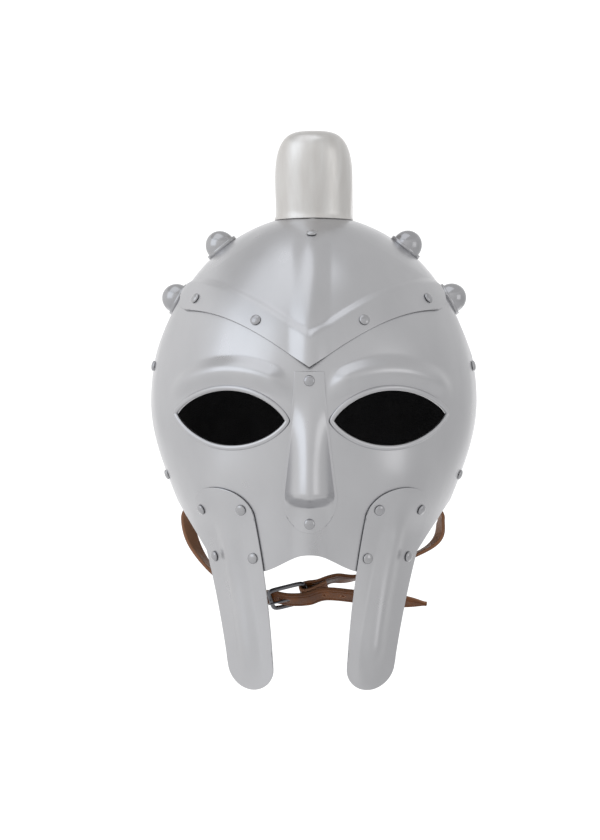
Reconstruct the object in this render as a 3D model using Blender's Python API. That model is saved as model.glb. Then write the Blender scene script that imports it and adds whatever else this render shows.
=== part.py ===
"""Face-plated gladiator helmet: its construction, in metres.

+Z is up, the face looks towards -Y, and +X is the wearer's left. The origin is the crown of the
lining, where the helmet sits on a head. Every plate follows one bowl surface: a half ellipsoid
down to the widest line, and tapering oval sections below it. A place on the bowl is an azimuth
from the front and a height above the widest line.
"""
import math

import bmesh
import bpy
import numpy as np
from mathutils import Matrix, Vector

# Steel sheet, lining and the room between lapped pieces
SHEET = 0.0012
LAP_GAP = 0.0006
LINING = 0.0020
LINING_GAP = 0.0008
CLEARANCE = 0.0003
FACET_ROOM = 0.0016

# Bowl: half sizes at the widest line, the rise of the dome, and the half sizes at jaw height
HALF_WIDTH = 0.1120
FRONT_DEPTH = 0.1180
BACK_DEPTH = 0.1260
DOME_RISE = 0.1300
JAW_DROP = 0.0880
JAW_HALF_WIDTH = 0.0857
JAW_FRONT_DEPTH = 0.1080
JAW_BACK_DEPTH = 0.1190
TAPER_SLOPE = 1.25
TAPER_FADE = 0.35

# Bowl edge: the face opening in front, the neck edge behind and its outward flare
OPENING_RISE = 0.0260
OPENING_INNER_ANGLE = math.radians(58)
OPENING_OUTER_ANGLE = math.radians(74)
NECK_DROP = 0.0680
NECK_FLARE = 0.0120
FLARE_START_ANGLE = math.radians(100)
FLARE_FULL_ANGLE = math.radians(135)
FLARE_HEIGHT = 0.0300
LINING_INSET = 0.0050
LEVEL_RING_RISE = 0.0460

# Face plate, as heights above (rise) or below (drop) the widest line
PLATE_ANGLE = math.radians(84)
PLATE_CORNER_ANGLE = math.radians(66)
PLATE_SIDE_TOP_RISE = 0.0320
CHIN_DROP = 0.1130
MOUTH_ARCH = 0.0120
MOUTH_HALF_WIDTH = 0.0340
JAW_CORNER_ANGLE = math.radians(45)
PLATE_SIDE_LOW_DROP = 0.0680
BROW_RIDGE = 0.0050
BROW_RIDGE_HALF_WIDTH = 0.0110
BROW_RIDGE_RISE = 0.0110
BROW_RIDGE_BEND = 0.55
BROW_RIDGE_REACH = 1.12
BROW_RIDGE_FADE = 0.40
CHEEK_SWELL = 0.0040
CHEEK_SWELL_RADIUS = 0.0340
LIP_KEEL = 0.0030
LIP_KEEL_HALF_WIDTH = 0.0120
RIDGE_FADE = 0.0300

# Eye openings and the wired rim round each
EYE_X = 0.0520
EYE_DROP = 0.0110
EYE_HALF_LENGTH = 0.0380
EYE_UPPER = 0.0190
EYE_LOWER = 0.0200
EYE_TILT = math.radians(4)
EYE_ROUNDNESS = 1.5
RIM_RADIUS = 0.0019

# Forehead plate
FRONTLET_HALF_WIDTH = 0.0880
FRONTLET_TO_CREST = 0.0070
FRONTLET_END_TOP_RISE = 0.0760
FRONTLET_CENTRE_RISE = 0.0200
FRONTLET_END_RISE = 0.0600
FRONTLET_LAP = 0.0160
FRONTLET_KEEL = 0.0035
FRONTLET_KEEL_HALF_WIDTH = 0.0140

# Nose guard
NOSE_TOP_RISE = 0.0180
NOSE_TIP_DROP = 0.0860
NOSE_TOP_HALF_WIDTH = 0.0095
NOSE_HALF_WIDTH = 0.0175
NOSE_WIDEST_DROP = 0.0620
NOSE_HEIGHT = 0.0190
NOSE_FLAT_END = 0.0120
NOSE_RIDGE_SHARE = 0.86
NOSE_RIDGE_POWER = 1.7

# Cheek guards
CHEEK_TOP_DROP = 0.0560
CHEEK_TIP_DROP = 0.1910
CHEEK_TOP_X = 0.0600
CHEEK_TIP_X = 0.0365
CHEEK_BEND = 0.55
CHEEK_TOP_HALF_WIDTH = 0.0205
CHEEK_TIP_HALF_WIDTH = 0.0142
CHEEK_RIDGE = 0.0040
CHEEK_RIDGE_HALF_WIDTH = 0.0090
CHEEK_RIDGE_START = 0.0080

# Crest box
CREST_HALF_WIDTH = 0.0260
CREST_TOP_SPREAD = 0.0030
CREST_FRONT_HEIGHT = 0.0620
CREST_BACK_HEIGHT = 0.0240
CREST_FRONT_ANGLE = math.radians(15)
CREST_BACK_ANGLE = math.radians(-76)
CREST_LEAN = 0.6
CREST_ROUNDNESS = 4.2
CREST_FRONT_CORNER = 0.0300
CREST_FRONT_CORNER_DROP = 0.0120
CREST_BACK_CORNER = 0.0400
CREST_BACK_CORNER_DROP = 0.0130
CREST_FRONT_END_SHARE = 0.12
CREST_BACK_END_SHARE = 0.10

# Rivets and bosses
RIVET_HEAD_RADIUS = 0.0036
RIVET_HEAD_HEIGHT = 0.0019
RIVET_SHANK_RADIUS = 0.0014
RIVET_TAIL_RADIUS = 0.0026
RIVET_TAIL_HEIGHT = 0.0008
BOSS_RADIUS = 0.0120
BOSS_HEIGHT = 0.0125
BOSS_COLLAR_HEIGHT = 0.0016
TEMPLE_RIVET_ANGLE = math.radians(79)
TEMPLE_RIVET_HEIGHTS = (0.0240, -0.0500)
STRAP_RIVET_ANGLE = math.radians(93)
STRAP_RIVET_DROP = 0.0540
BROW_RIVET_SHARES = (0.39, 0.86)
BROW_TOP_RIVET_DROP = 0.0140
BOSS_PLACES = ((math.radians(82), math.radians(35)), (math.radians(88), math.radians(57)))

# Chin strap and buckle
STRAP_WIDTH = 0.0150
STRAP_THICKNESS = 0.0024
STRAP_TAB = 0.0080
STRAP_TWIST = 0.60
TIP_REACH = 0.0945
BUCKLE_X = -0.0165
BUCKLE_Y = -0.0360
BUCKLE_DROP = 0.1335
BUCKLE_HALF_LENGTH = 0.0125
BUCKLE_HALF_WIDTH = 0.0115
BUCKLE_SQUARENESS = 7.0
BUCKLE_TILT = math.radians(14)
BUCKLE_WIRE_RADIUS = 0.0015
PRONG_RADIUS = 0.0011

# Directions at the buckle: along the strap, across it, and out of its outer face
BUCKLE_ALONG = np.array([math.cos(BUCKLE_TILT), 0.0, math.sin(BUCKLE_TILT)])
BUCKLE_ACROSS = np.array([0.6 * math.sin(BUCKLE_TILT), 0.8, -0.6 * math.cos(BUCKLE_TILT)])
BUCKLE_OUT = np.array([0.8 * math.sin(BUCKLE_TILT), -0.6, -0.8 * math.cos(BUCKLE_TILT)])

# Fineness of the meshes
BOWL_COLUMNS = 32
DOME_ROWS = 6
SIDE_ROWS = 3
PLATE_COLUMNS = 32
PLATE_ROWS = 11
EYE_STEPS = 24

# The lining's crown is the origin, so this is the height of the widest line
WIDEST_Z = -(DOME_RISE - SHEET - LINING_GAP - LINING)

# The forehead plate's point stops just in front of the crest
FRONTLET_TOP_RISE = DOME_RISE * math.cos(CREST_FRONT_ANGLE + FRONTLET_TO_CREST / FRONT_DEPTH)

# Distances from the bowl's outer face of the faces that the rivets grip
LINING_INSIDE = -(SHEET + LINING_GAP + LINING)
PLATE_INSIDE = LAP_GAP
PLATE_OUTSIDE = LAP_GAP + SHEET
OVERLAY_INSIDE = PLATE_OUTSIDE + LAP_GAP


def clear_scene():
    """Remove the objects that the open file holds."""
    for item in list(bpy.data.objects):
        bpy.data.objects.remove(item, do_unlink=True)


def make_material(name, colour, roughness, metallic):
    """A Principled material of one colour."""
    material = bpy.data.materials.new(name)
    material.use_nodes = True
    shader = material.node_tree.nodes["Principled BSDF"]
    shader.inputs["Base Color"].default_value = (*colour, 1.0)
    shader.inputs["Roughness"].default_value = roughness
    shader.inputs["Metallic"].default_value = metallic
    material.diffuse_color = (*colour, 1.0)
    return material


def smooth_step(value):
    """0 below 0, 1 above 1, and a smooth cubic between."""
    share = np.clip(value, 0.0, 1.0)
    return share * share * (3.0 - 2.0 * share)


def bump(distance, half_width):
    """1 on a line, falling smoothly to 0 at a half width from it."""
    return smooth_step(1.0 - np.abs(distance) / half_width)


def taper(drop):
    """Share of the taper at a drop below the widest line: a cubic to the jaw, fading out past it.

    The cubic starts level, so that the bowl has no crease at its widest line, and ends at the taper's slope.
    """
    share = drop / JAW_DROP
    past = np.maximum(share - 1.0, 0.0)
    fading = TAPER_SLOPE * TAPER_FADE * (1.0 - np.exp(-past / TAPER_FADE))
    above = np.clip(share, 0.0, 1.0)
    return above ** 2 * (3.0 - TAPER_SLOPE + (TAPER_SLOPE - 2.0) * above) + fading


def taper_slope(drop):
    """Slope of the taper, from two near points."""
    step = 1e-5
    return (taper(drop + step) - taper(drop - step)) / (2.0 * step)


def half_size(height, widest, jaw):
    """Half size of the section at a height: an ellipse above the widest line, the taper below it."""
    dome = widest * np.sqrt(np.clip(1.0 - (height / DOME_RISE) ** 2, 0.0, 1.0))
    return np.where(height > 0.0, dome, widest - (widest - jaw) * taper(np.maximum(-height, 0.0)))


def on_bowl(azimuth, height, out=0.0):
    """Points a distance out of the bowl's outer face, and the outward normals there."""
    azimuth, height, out = np.broadcast_arrays(np.asarray(azimuth, float), height, out)
    in_front = np.cos(azimuth) > 0.0
    depth = np.where(in_front, FRONT_DEPTH, BACK_DEPTH)
    jaw_depth = np.where(in_front, JAW_FRONT_DEPTH, JAW_BACK_DEPTH)
    across = half_size(height, HALF_WIDTH, JAW_HALF_WIDTH)
    along = half_size(height, depth, jaw_depth)
    point = np.stack([across * np.sin(azimuth), -along * np.cos(azimuth), height], axis=-1)
    upper = np.stack([point[..., 0] / HALF_WIDTH ** 2, point[..., 1] / depth ** 2,
                      height / DOME_RISE ** 2], axis=-1)
    slope = taper_slope(np.maximum(-height, 1e-5))
    safe_across = np.maximum(across, 1e-4)
    safe_along = np.maximum(along, 1e-4)
    narrowing = (point[..., 0] ** 2 * (HALF_WIDTH - JAW_HALF_WIDTH) / safe_across ** 3
                 + point[..., 1] ** 2 * (depth - jaw_depth) / safe_along ** 3) * slope
    lower = np.stack([point[..., 0] / safe_across ** 2, point[..., 1] / safe_along ** 2, -narrowing], axis=-1)
    normal = np.where((height > 0.0)[..., None], upper, lower)
    normal = normal / np.linalg.norm(normal, axis=-1, keepdims=True)
    point = point + normal * out[..., None]
    point[..., 2] += WIDEST_Z
    return point, normal


def azimuth_of(x, height):
    """Azimuth of the point of the bowl's front that lies at x, seen from the front."""
    return np.arcsin(np.clip(x / half_size(height, HALF_WIDTH, JAW_HALF_WIDTH), -0.995, 0.995))


def brow_line(x):
    """Height of the forehead plate's lower edge: a quarter sine from the nose to the temples."""
    share = np.clip(np.abs(x) / FRONTLET_HALF_WIDTH, 0.0, 1.0)
    return FRONTLET_CENTRE_RISE + (FRONTLET_END_RISE - FRONTLET_CENTRE_RISE) * np.sin(share * math.pi / 2)


def roof_line(x):
    """Height of the forehead plate's upper edge, which falls from its point to its ends."""
    share = np.clip(np.abs(x) / FRONTLET_HALF_WIDTH, 0.0, 1.0)
    return FRONTLET_TOP_RISE - (FRONTLET_TOP_RISE - FRONTLET_END_TOP_RISE) * share ** 1.15


def eye_outline(steps):
    """Front view (x, height) of the right eye opening: an almond, turned a little up at its outer corner."""
    turn = np.linspace(0.0, 2.0 * math.pi, steps, endpoint=False)
    along = EYE_HALF_LENGTH * np.cos(turn)
    tall = np.where(np.sin(turn) > 0.0, EYE_UPPER, EYE_LOWER)
    across = np.sign(np.sin(turn)) * tall * np.abs(np.sin(turn)) ** EYE_ROUNDNESS
    x = EYE_X + along * math.cos(EYE_TILT) - across * math.sin(EYE_TILT)
    height = -EYE_DROP + along * math.sin(EYE_TILT) + across * math.cos(EYE_TILT)
    return x, height


def plate_relief(x, height):
    """How far the face plate is raised: brow ridges, cheeks and the keel of the upper lip."""
    across = (np.abs(x) - EYE_X) / EYE_HALF_LENGTH
    brow = -EYE_DROP + BROW_RIDGE_RISE + EYE_UPPER * (1.0 - BROW_RIDGE_BEND * across ** 2)
    fade = smooth_step((BROW_RIDGE_REACH - np.abs(across)) / BROW_RIDGE_FADE)
    ridge = BROW_RIDGE * bump(height - brow, BROW_RIDGE_HALF_WIDTH) * fade
    from_cheek = np.hypot(np.abs(x) - CHEEK_TOP_X, height + CHEEK_TOP_DROP)
    cheek = CHEEK_SWELL * bump(from_cheek, CHEEK_SWELL_RADIUS)
    under_nose = smooth_step((-height - NOSE_WIDEST_DROP) / (NOSE_TIP_DROP - NOSE_WIDEST_DROP))
    keel = LIP_KEEL * bump(x, LIP_KEEL_HALF_WIDTH) * under_nose
    return ridge + cheek + keel


def frontlet_lift(x, height):
    """Distance from the bowl to the forehead plate's inner face.

    It steps out over the face plate's top edge.
    """
    over_plate = smooth_step((brow_line(x) + FRONTLET_LAP * 2.0 - height) / (FRONTLET_LAP * 0.5))
    from_point = smooth_step((FRONTLET_TOP_RISE - height) / RIDGE_FADE)
    keel = FRONTLET_KEEL * bump(x, FRONTLET_KEEL_HALF_WIDTH) * from_point
    return LAP_GAP + (OVERLAY_INSIDE - LAP_GAP + plate_relief(x, height)) * over_plate + keel


def face_point(x, height, out):
    """Point and normal over the bowl's front at a front-view place."""
    return on_bowl(azimuth_of(x, height), height, out)


def grid_object(name, points, material, wrap=False, split=False):
    """Object whose mesh is a grid of points (rows going up, columns going to +X), facing out.

    Split grids have triangles, all cut the same way, so that nested shells keep their distance.
    """
    rows, columns, _ = points.shape
    index = np.arange(rows * columns).reshape(rows, columns)
    if wrap:
        index = np.concatenate([index, index[:, :1]], axis=1)
    corners = np.stack([index[:-1, :-1], index[:-1, 1:], index[1:, 1:], index[1:, :-1]], axis=-1)
    corners = corners.reshape(-1, 4)
    faces = np.concatenate([corners[:, [0, 1, 2]], corners[:, [0, 2, 3]]]) if split else corners
    mesh = bpy.data.meshes.new(name)
    mesh.from_pydata(points.reshape(-1, 3).tolist(), [], faces.tolist())
    work = bmesh.new()
    work.from_mesh(mesh)
    bmesh.ops.remove_doubles(work, verts=work.verts, dist=1e-6)
    bmesh.ops.dissolve_degenerate(work, dist=1e-7, edges=work.edges)
    work.to_mesh(mesh)
    work.free()
    mesh.shade_smooth()
    mesh.set_sharp_from_angle(angle=math.radians(40))
    mesh.materials.append(material)
    item = bpy.data.objects.new(name, mesh)
    bpy.context.collection.objects.link(item)
    return item


def add_wall(item, thickness, outwards):
    """Give a surface its wall, outwards or inwards."""
    wall = item.modifiers.new("Wall", "SOLIDIFY")
    wall.thickness = thickness
    wall.offset = 1.0 if outwards else -1.0
    wall.use_even_offset = True


def hide_guide(item):
    """Keep a cutter or a guide out of the build and the render."""
    item.hide_render = True
    item.display_type = "WIRE"


def cut(item, cutter, operation="DIFFERENCE"):
    """Cut an object with a cutter, or join the cutter to it."""
    boolean = item.modifiers.new(operation.title(), "BOOLEAN")
    boolean.operation = operation
    boolean.object = cutter


def joined(name, items):
    """One hidden guide made of several objects, which it takes the place of."""
    work = bmesh.new()
    for item in items:
        mesh = item.data.copy()
        mesh.transform(item.matrix_world)
        work.from_mesh(mesh)
        bpy.data.objects.remove(item)
    mesh = bpy.data.meshes.new(name)
    work.to_mesh(mesh)
    work.free()
    guide = bpy.data.objects.new(name, mesh)
    bpy.context.collection.objects.link(guide)
    hide_guide(guide)
    return guide


def turned(name, profile, sides, place, material):
    """Solid turned about the axis of a placement from (radius, height) pairs, tail to head."""
    radius, height = np.array(profile).T
    turn = np.linspace(0.0, 2.0 * math.pi, sides, endpoint=False)
    points = np.stack([radius[:, None] * np.cos(turn), radius[:, None] * np.sin(turn),
                       np.repeat(height[:, None], sides, axis=1)], axis=-1)
    item = grid_object(name, points, material, wrap=True)
    item.matrix_world = place
    return item


def placement(azimuth, height, out=0.0):
    """Placement at a point over the bowl, with its Z axis along the outward normal."""
    point, normal = on_bowl(azimuth, height, out)
    turn = Vector(normal).to_track_quat("Z", "Y").to_matrix().to_4x4()
    return Matrix.Translation(Vector(point)) @ turn


def bowl_rows(lower_edge):
    """Heights of the bowl's rows: from the lower edge to a level ring, then by even angles to the crown."""
    share = np.linspace(0.0, 1.0, SIDE_ROWS + 1)[:-1, None]
    side = lower_edge + (LEVEL_RING_RISE - lower_edge) * share
    from_top = math.acos(LEVEL_RING_RISE / DOME_RISE) * np.linspace(1.0, 0.0, DOME_ROWS + 1)[:, None]
    return np.concatenate([side, DOME_RISE * np.cos(from_top) + 0.0 * lower_edge], axis=0)


def bowl_lower_edge(azimuth):
    """Height of the bowl's lower edge: high over the face, low at the sides and neck."""
    span = OPENING_OUTER_ANGLE - OPENING_INNER_ANGLE
    in_face = smooth_step((OPENING_OUTER_ANGLE - np.abs(azimuth)) / span)
    return -NECK_DROP + (NECK_DROP + OPENING_RISE) * in_face


def neck_flare(azimuth, height):
    """Outward flare of the bowl's neck edge."""
    behind = smooth_step((np.abs(azimuth) - FLARE_START_ANGLE) / (FLARE_FULL_ANGLE - FLARE_START_ANGLE))
    return NECK_FLARE * behind * np.clip((-height - NECK_DROP + FLARE_HEIGHT) / FLARE_HEIGHT, 0.0, 1.0) ** 2


def build_skull(material):
    """The bowl, open for the face, with a flared neck edge."""
    azimuth = np.linspace(-math.pi, math.pi, BOWL_COLUMNS, endpoint=False)[None, :]
    height = bowl_rows(bowl_lower_edge(azimuth))
    points, _ = on_bowl(azimuth, height, neck_flare(azimuth, height))
    skull = grid_object("skull", points, material, wrap=True, split=True)
    add_wall(skull, SHEET, outwards=False)
    return skull


def build_lining(material):
    """The leather lining, a shell inside the bowl, whose facets nest in the bowl's and end above its edge."""
    azimuth = np.linspace(-math.pi, math.pi, BOWL_COLUMNS, endpoint=False)[None, :]
    height = bowl_rows(bowl_lower_edge(azimuth))
    points, _ = on_bowl(azimuth, height, neck_flare(azimuth, height) - SHEET - LINING_GAP)
    share = LINING_INSET / (height[1] - height[0])
    points[0] += (points[1] - points[0]) * share[:, None]
    lining = grid_object("lining", points, material, wrap=True, split=True)
    add_wall(lining, LINING, outwards=False)
    return lining


def plate_top(azimuth):
    """Height of the face plate's top edge: under the forehead plate, then down to its side edge."""
    x = half_size(FRONTLET_END_RISE, HALF_WIDTH, JAW_HALF_WIDTH) * np.sin(azimuth)
    under = brow_line(x) + FRONTLET_LAP
    down = smooth_step((np.abs(azimuth) - PLATE_CORNER_ANGLE) / (PLATE_ANGLE - PLATE_CORNER_ANGLE))
    return under + (PLATE_SIDE_TOP_RISE - under) * down


def plate_bottom(azimuth):
    """Height of the face plate's bottom edge: an arch over the mouth, and round corners."""
    x = half_size(-CHIN_DROP, HALF_WIDTH, JAW_HALF_WIDTH) * np.sin(azimuth)
    arch = MOUTH_ARCH * bump(x, MOUTH_HALF_WIDTH)
    up = smooth_step((np.abs(azimuth) - JAW_CORNER_ANGLE) / (PLATE_ANGLE - JAW_CORNER_ANGLE))
    return -CHIN_DROP + arch + (CHIN_DROP - PLATE_SIDE_LOW_DROP) * up


def eye_cutter(side):
    """Prism of the eye opening, drawn through the face plate."""
    x, height = eye_outline(EYE_STEPS)
    near = -(FRONT_DEPTH + BROW_RIDGE) * 1.3
    x = x[::-1] * side if side < 0 else x
    height = height[::-1] if side < 0 else height
    front = [(px, near, pz + WIDEST_Z) for px, pz in zip(x, height)]
    back = [(px, 0.0, pz + WIDEST_Z) for px, pz in zip(x, height)]
    count = len(front)
    faces = [tuple(range(count)), tuple(reversed(range(count, 2 * count)))]
    faces += [(k, k + count, (k + 1) % count + count, (k + 1) % count) for k in range(count)]
    mesh = bpy.data.meshes.new("eye_cutter")
    mesh.from_pydata(front + back, [], faces)
    cutter = bpy.data.objects.new("eye_cutter", mesh)
    bpy.context.collection.objects.link(cutter)
    return cutter


def eye_rim(side, material):
    """Closed tube round the eye opening, on the middle of the face plate's wall."""
    x, height = eye_outline(EYE_STEPS)
    out = LAP_GAP + SHEET / 2 + plate_relief(x, height)
    path, normal = face_point(x * side, height, out)
    return closed_tube("eye_rim", path, normal, RIM_RADIUS, 6, material)


def closed_tube(name, path, normal, radius, sides, material):
    """Tube of a radius along a closed path that lies on a surface with these normals."""
    along = np.roll(path, -1, axis=0) - np.roll(path, 1, axis=0)
    along /= np.linalg.norm(along, axis=-1, keepdims=True)
    across = np.cross(normal, along)
    turn = np.linspace(0.0, 2.0 * math.pi, sides, endpoint=False)
    ring = radius * (np.cos(turn)[:, None, None] * across + np.sin(turn)[:, None, None] * normal)
    points = np.concatenate([path + ring, (path + ring)[:1]], axis=0)
    item = grid_object(name, points, material, wrap=True)
    face_out(item)
    return item


def face_out(item):
    """Point the faces of a closed mesh outwards."""
    work = bmesh.new()
    work.from_mesh(item.data)
    bmesh.ops.recalc_face_normals(work, faces=work.faces)
    work.to_mesh(item.data)
    work.free()


def build_face_plate(material):
    """The mask, with its two eye openings and their wired rims."""
    azimuth = np.linspace(-PLATE_ANGLE, PLATE_ANGLE, PLATE_COLUMNS + 1)[None, :]
    share = np.linspace(0.0, 1.0, PLATE_ROWS + 1)[:, None]
    height = plate_bottom(azimuth) * (1.0 - share) + plate_top(azimuth) * share
    base, _ = on_bowl(azimuth, height)
    points, _ = on_bowl(azimuth, height, PLATE_INSIDE + plate_relief(base[..., 0], height))
    plate = grid_object("face_plate", points, material)
    add_wall(plate, SHEET, outwards=True)
    cut(plate, joined("eye_cutters", [eye_cutter(side) for side in (-1, 1)]))
    cut(plate, joined("eye_rims", [eye_rim(side, material) for side in (-1, 1)]), "UNION")
    return plate


def build_frontlet(material):
    """The pointed forehead plate."""
    x = FRONTLET_HALF_WIDTH * np.linspace(-1.0, 1.0, 19)[None, :]
    share = np.linspace(0.0, 1.0, 9)[:, None]
    low = np.arccos(brow_line(x) / DOME_RISE)
    high = np.arccos(roof_line(x) / DOME_RISE)
    height = DOME_RISE * np.cos(low * (1.0 - share) + high * share)
    points, _ = face_point(x, height, frontlet_lift(x, height))
    frontlet = grid_object("frontlet", points, material)
    add_wall(frontlet, SHEET, outwards=True)
    return frontlet


def rounded_end(distance, radius):
    """Share of the full width at a distance from a round end."""
    return np.sqrt(np.clip(1.0 - (1.0 - np.clip(distance / radius, 0.0, 1.0)) ** 2, 0.0, 1.0))


def end_spaced(rows, first_end, last_end):
    """Shares from 0 to 1, closer together near the two round ends."""
    share = np.linspace(0.0, 1.0, rows)
    first = first_end * (1.0 - np.cos(np.pi / 2 * np.clip(share / 0.25, 0.0, 1.0)))
    last = last_end * (1.0 - np.cos(np.pi / 2 * np.clip((1.0 - share) / 0.25, 0.0, 1.0)))
    middle = np.clip((share - 0.25) / 0.5, 0.0, 1.0) * (1.0 - first_end - last_end)
    return first + middle + (last_end - last)


def nose_half_width(height):
    """Half width of the nose guard: it widens to its lower third and ends round."""
    share = np.clip((NOSE_TOP_RISE - height) / (NOSE_TOP_RISE + NOSE_WIDEST_DROP), 0.0, 1.0)
    width = NOSE_TOP_HALF_WIDTH + (NOSE_HALF_WIDTH - NOSE_TOP_HALF_WIDTH) * share ** 1.3
    return width * rounded_end(height + NOSE_TIP_DROP, NOSE_TIP_DROP - NOSE_WIDEST_DROP)


def nose_lift(x, height):
    """Distance from the bowl to the nose guard's inner face: a round ridge with flat edges and ends."""
    below_top = NOSE_TOP_RISE - height - NOSE_FLAT_END * 0.8
    from_top = smooth_step(below_top / (NOSE_TOP_RISE + NOSE_WIDEST_DROP))
    from_tip = smooth_step((height + NOSE_TIP_DROP - NOSE_FLAT_END * 1.3) / NOSE_FLAT_END)
    ridge_half_width = NOSE_RIDGE_SHARE * np.maximum(nose_half_width(height), 1e-4)
    ridge = np.clip(1.0 - (np.abs(x) / ridge_half_width) ** NOSE_RIDGE_POWER, 0.0, 1.0)
    return OVERLAY_INSIDE + plate_relief(x, height) + NOSE_HEIGHT * from_top * from_tip * ridge


def build_nose_guard(material):
    """The nasal, a ridged plate over the middle of the face plate."""
    tip_share = (NOSE_TIP_DROP - NOSE_WIDEST_DROP) / (NOSE_TIP_DROP + NOSE_TOP_RISE)
    share = end_spaced(12, tip_share, 0.1)[:, None]
    height = -NOSE_TIP_DROP + (NOSE_TIP_DROP + NOSE_TOP_RISE) * share
    x = nose_half_width(height) * np.sin(np.linspace(-math.pi / 2, math.pi / 2, 9))[None, :]
    points, _ = face_point(x, height + 0.0 * x, nose_lift(x, height))
    guard = grid_object("nose_guard", points, material)
    add_wall(guard, SHEET, outwards=True)
    return guard


def cheek_centre(height):
    """Front-view x of the cheek guard's middle line, which bends in and then runs down."""
    share = np.clip((-height - CHEEK_TOP_DROP) / (CHEEK_TIP_DROP - CHEEK_TOP_DROP), 0.0, 1.0)
    bent = share + CHEEK_BEND * share * (1.0 - share)
    return CHEEK_TOP_X + (CHEEK_TIP_X - CHEEK_TOP_X) * bent


def cheek_half_width(height):
    """Half width of the cheek guard, round at both ends."""
    share = np.clip((-height - CHEEK_TOP_DROP) / (CHEEK_TIP_DROP - CHEEK_TOP_DROP), 0.0, 1.0)
    width = CHEEK_TOP_HALF_WIDTH + (CHEEK_TIP_HALF_WIDTH - CHEEK_TOP_HALF_WIDTH) * share
    top = rounded_end(-height - CHEEK_TOP_DROP, CHEEK_TOP_HALF_WIDTH)
    return width * top * rounded_end(height + CHEEK_TIP_DROP, CHEEK_TIP_HALF_WIDTH)


def cheek_lift(x, height):
    """Distance from the bowl to the cheek guard's inner face: on the plate, with a ridge in its middle."""
    from_top = smooth_step((-height - CHEEK_TOP_DROP - CHEEK_RIDGE_START) / RIDGE_FADE)
    from_tip = smooth_step((height + CHEEK_TIP_DROP) / RIDGE_FADE)
    from_middle = np.abs(x) - cheek_centre(height)
    ridge = CHEEK_RIDGE * bump(from_middle, CHEEK_RIDGE_HALF_WIDTH) * from_top * from_tip
    return OVERLAY_INSIDE + plate_relief(x, height) + ridge


def build_cheek_guard(name, side, material):
    """One of the two long cheek pieces."""
    length = CHEEK_TIP_DROP - CHEEK_TOP_DROP
    share = end_spaced(13, CHEEK_TIP_HALF_WIDTH / length, CHEEK_TOP_HALF_WIDTH / length)[:, None]
    height = -CHEEK_TIP_DROP + length * share
    x = side * cheek_centre(height) + cheek_half_width(height) * np.linspace(-1.0, 1.0, 9)[None, :]
    points, _ = face_point(x, height + 0.0 * x, cheek_lift(x, height))
    guard = grid_object(name, points, material)
    add_wall(guard, SHEET, outwards=True)
    return guard


def build_crest(material):
    """The hollow crest box along the top, open underneath, with round ends."""
    share = end_spaced(13, CREST_FRONT_END_SHARE, CREST_BACK_END_SHARE)[:, None]
    angle = CREST_FRONT_ANGLE + (CREST_BACK_ANGLE - CREST_FRONT_ANGLE) * share
    turn = np.linspace(0.0, math.pi, 11)[None, :]
    length = DOME_RISE * (CREST_FRONT_ANGLE - CREST_BACK_ANGLE)
    from_front = share * length
    from_back = (1.0 - share) * length
    full = rounded_end(from_front, CREST_HALF_WIDTH) * rounded_end(from_back, CREST_HALF_WIDTH)
    height = CREST_FRONT_HEIGHT + (CREST_BACK_HEIGHT - CREST_FRONT_HEIGHT) * share
    height = height - CREST_FRONT_CORNER_DROP * (1.0 - rounded_end(from_front, CREST_FRONT_CORNER))
    height = height - CREST_BACK_CORNER_DROP * (1.0 - rounded_end(from_back, CREST_BACK_CORNER))
    power = 2.0 / CREST_ROUNDNESS
    rise = np.sin(turn) ** power * height
    spread = CREST_HALF_WIDTH + CREST_TOP_SPREAD * rise / CREST_FRONT_HEIGHT
    x = -np.sign(np.cos(turn)) * np.abs(np.cos(turn)) ** power * spread * full
    depth = np.where(angle > 0.0, FRONT_DEPTH, BACK_DEPTH)
    narrowing = np.sqrt(1.0 - (x / HALF_WIDTH) ** 2)
    lean = CREST_LEAN * angle
    y = -depth * np.sin(angle) * narrowing - np.sin(lean) * (rise + LAP_GAP)
    z = DOME_RISE * np.cos(angle) * narrowing + np.cos(lean) * (rise + LAP_GAP) + WIDEST_Z
    points = np.stack([x, y, z], axis=-1)[::-1]
    crest = grid_object("crest", points, material)
    add_wall(crest, SHEET, outwards=False)
    return crest


def rivet_profile(low, high, head_radius=RIVET_HEAD_RADIUS, head_height=RIVET_HEAD_HEIGHT):
    """Tail, shank and domed head of a rivet that grips from low to high."""
    tail = low - FACET_ROOM
    head = high + CLEARANCE
    return [(0.0, tail - RIVET_TAIL_HEIGHT), (RIVET_TAIL_RADIUS, tail), (RIVET_SHANK_RADIUS, tail),
            (RIVET_SHANK_RADIUS, head), (head_radius, head), (head_radius * 0.78, head + head_height * 0.62),
            (0.0, head + head_height)]


def boss_profile(low, high):
    """Shank, collar and dome of a boss."""
    head = high + CLEARANCE
    dome = head + BOSS_COLLAR_HEIGHT
    rise = BOSS_HEIGHT - BOSS_COLLAR_HEIGHT
    inner = BOSS_RADIUS * 0.86
    turns = [math.radians(degrees) for degrees in (0, 35, 65, 90)]
    profile = rivet_profile(low, high)[:4] + [(BOSS_RADIUS, head), (BOSS_RADIUS, dome)]
    return profile + [(inner * math.cos(turn), dome + rise * math.sin(turn)) for turn in turns]


def hole_profile(low, high):
    """Cutter of the hole that a shank passes, a little longer than its grip."""
    radius = (RIVET_SHANK_RADIUS + CLEARANCE) / math.cos(math.pi / 6)
    ends = FACET_ROOM + SHEET
    return [(0.0, low - ends), (radius, low - ends), (radius, high + ends), (0.0, high + ends)]


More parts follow.
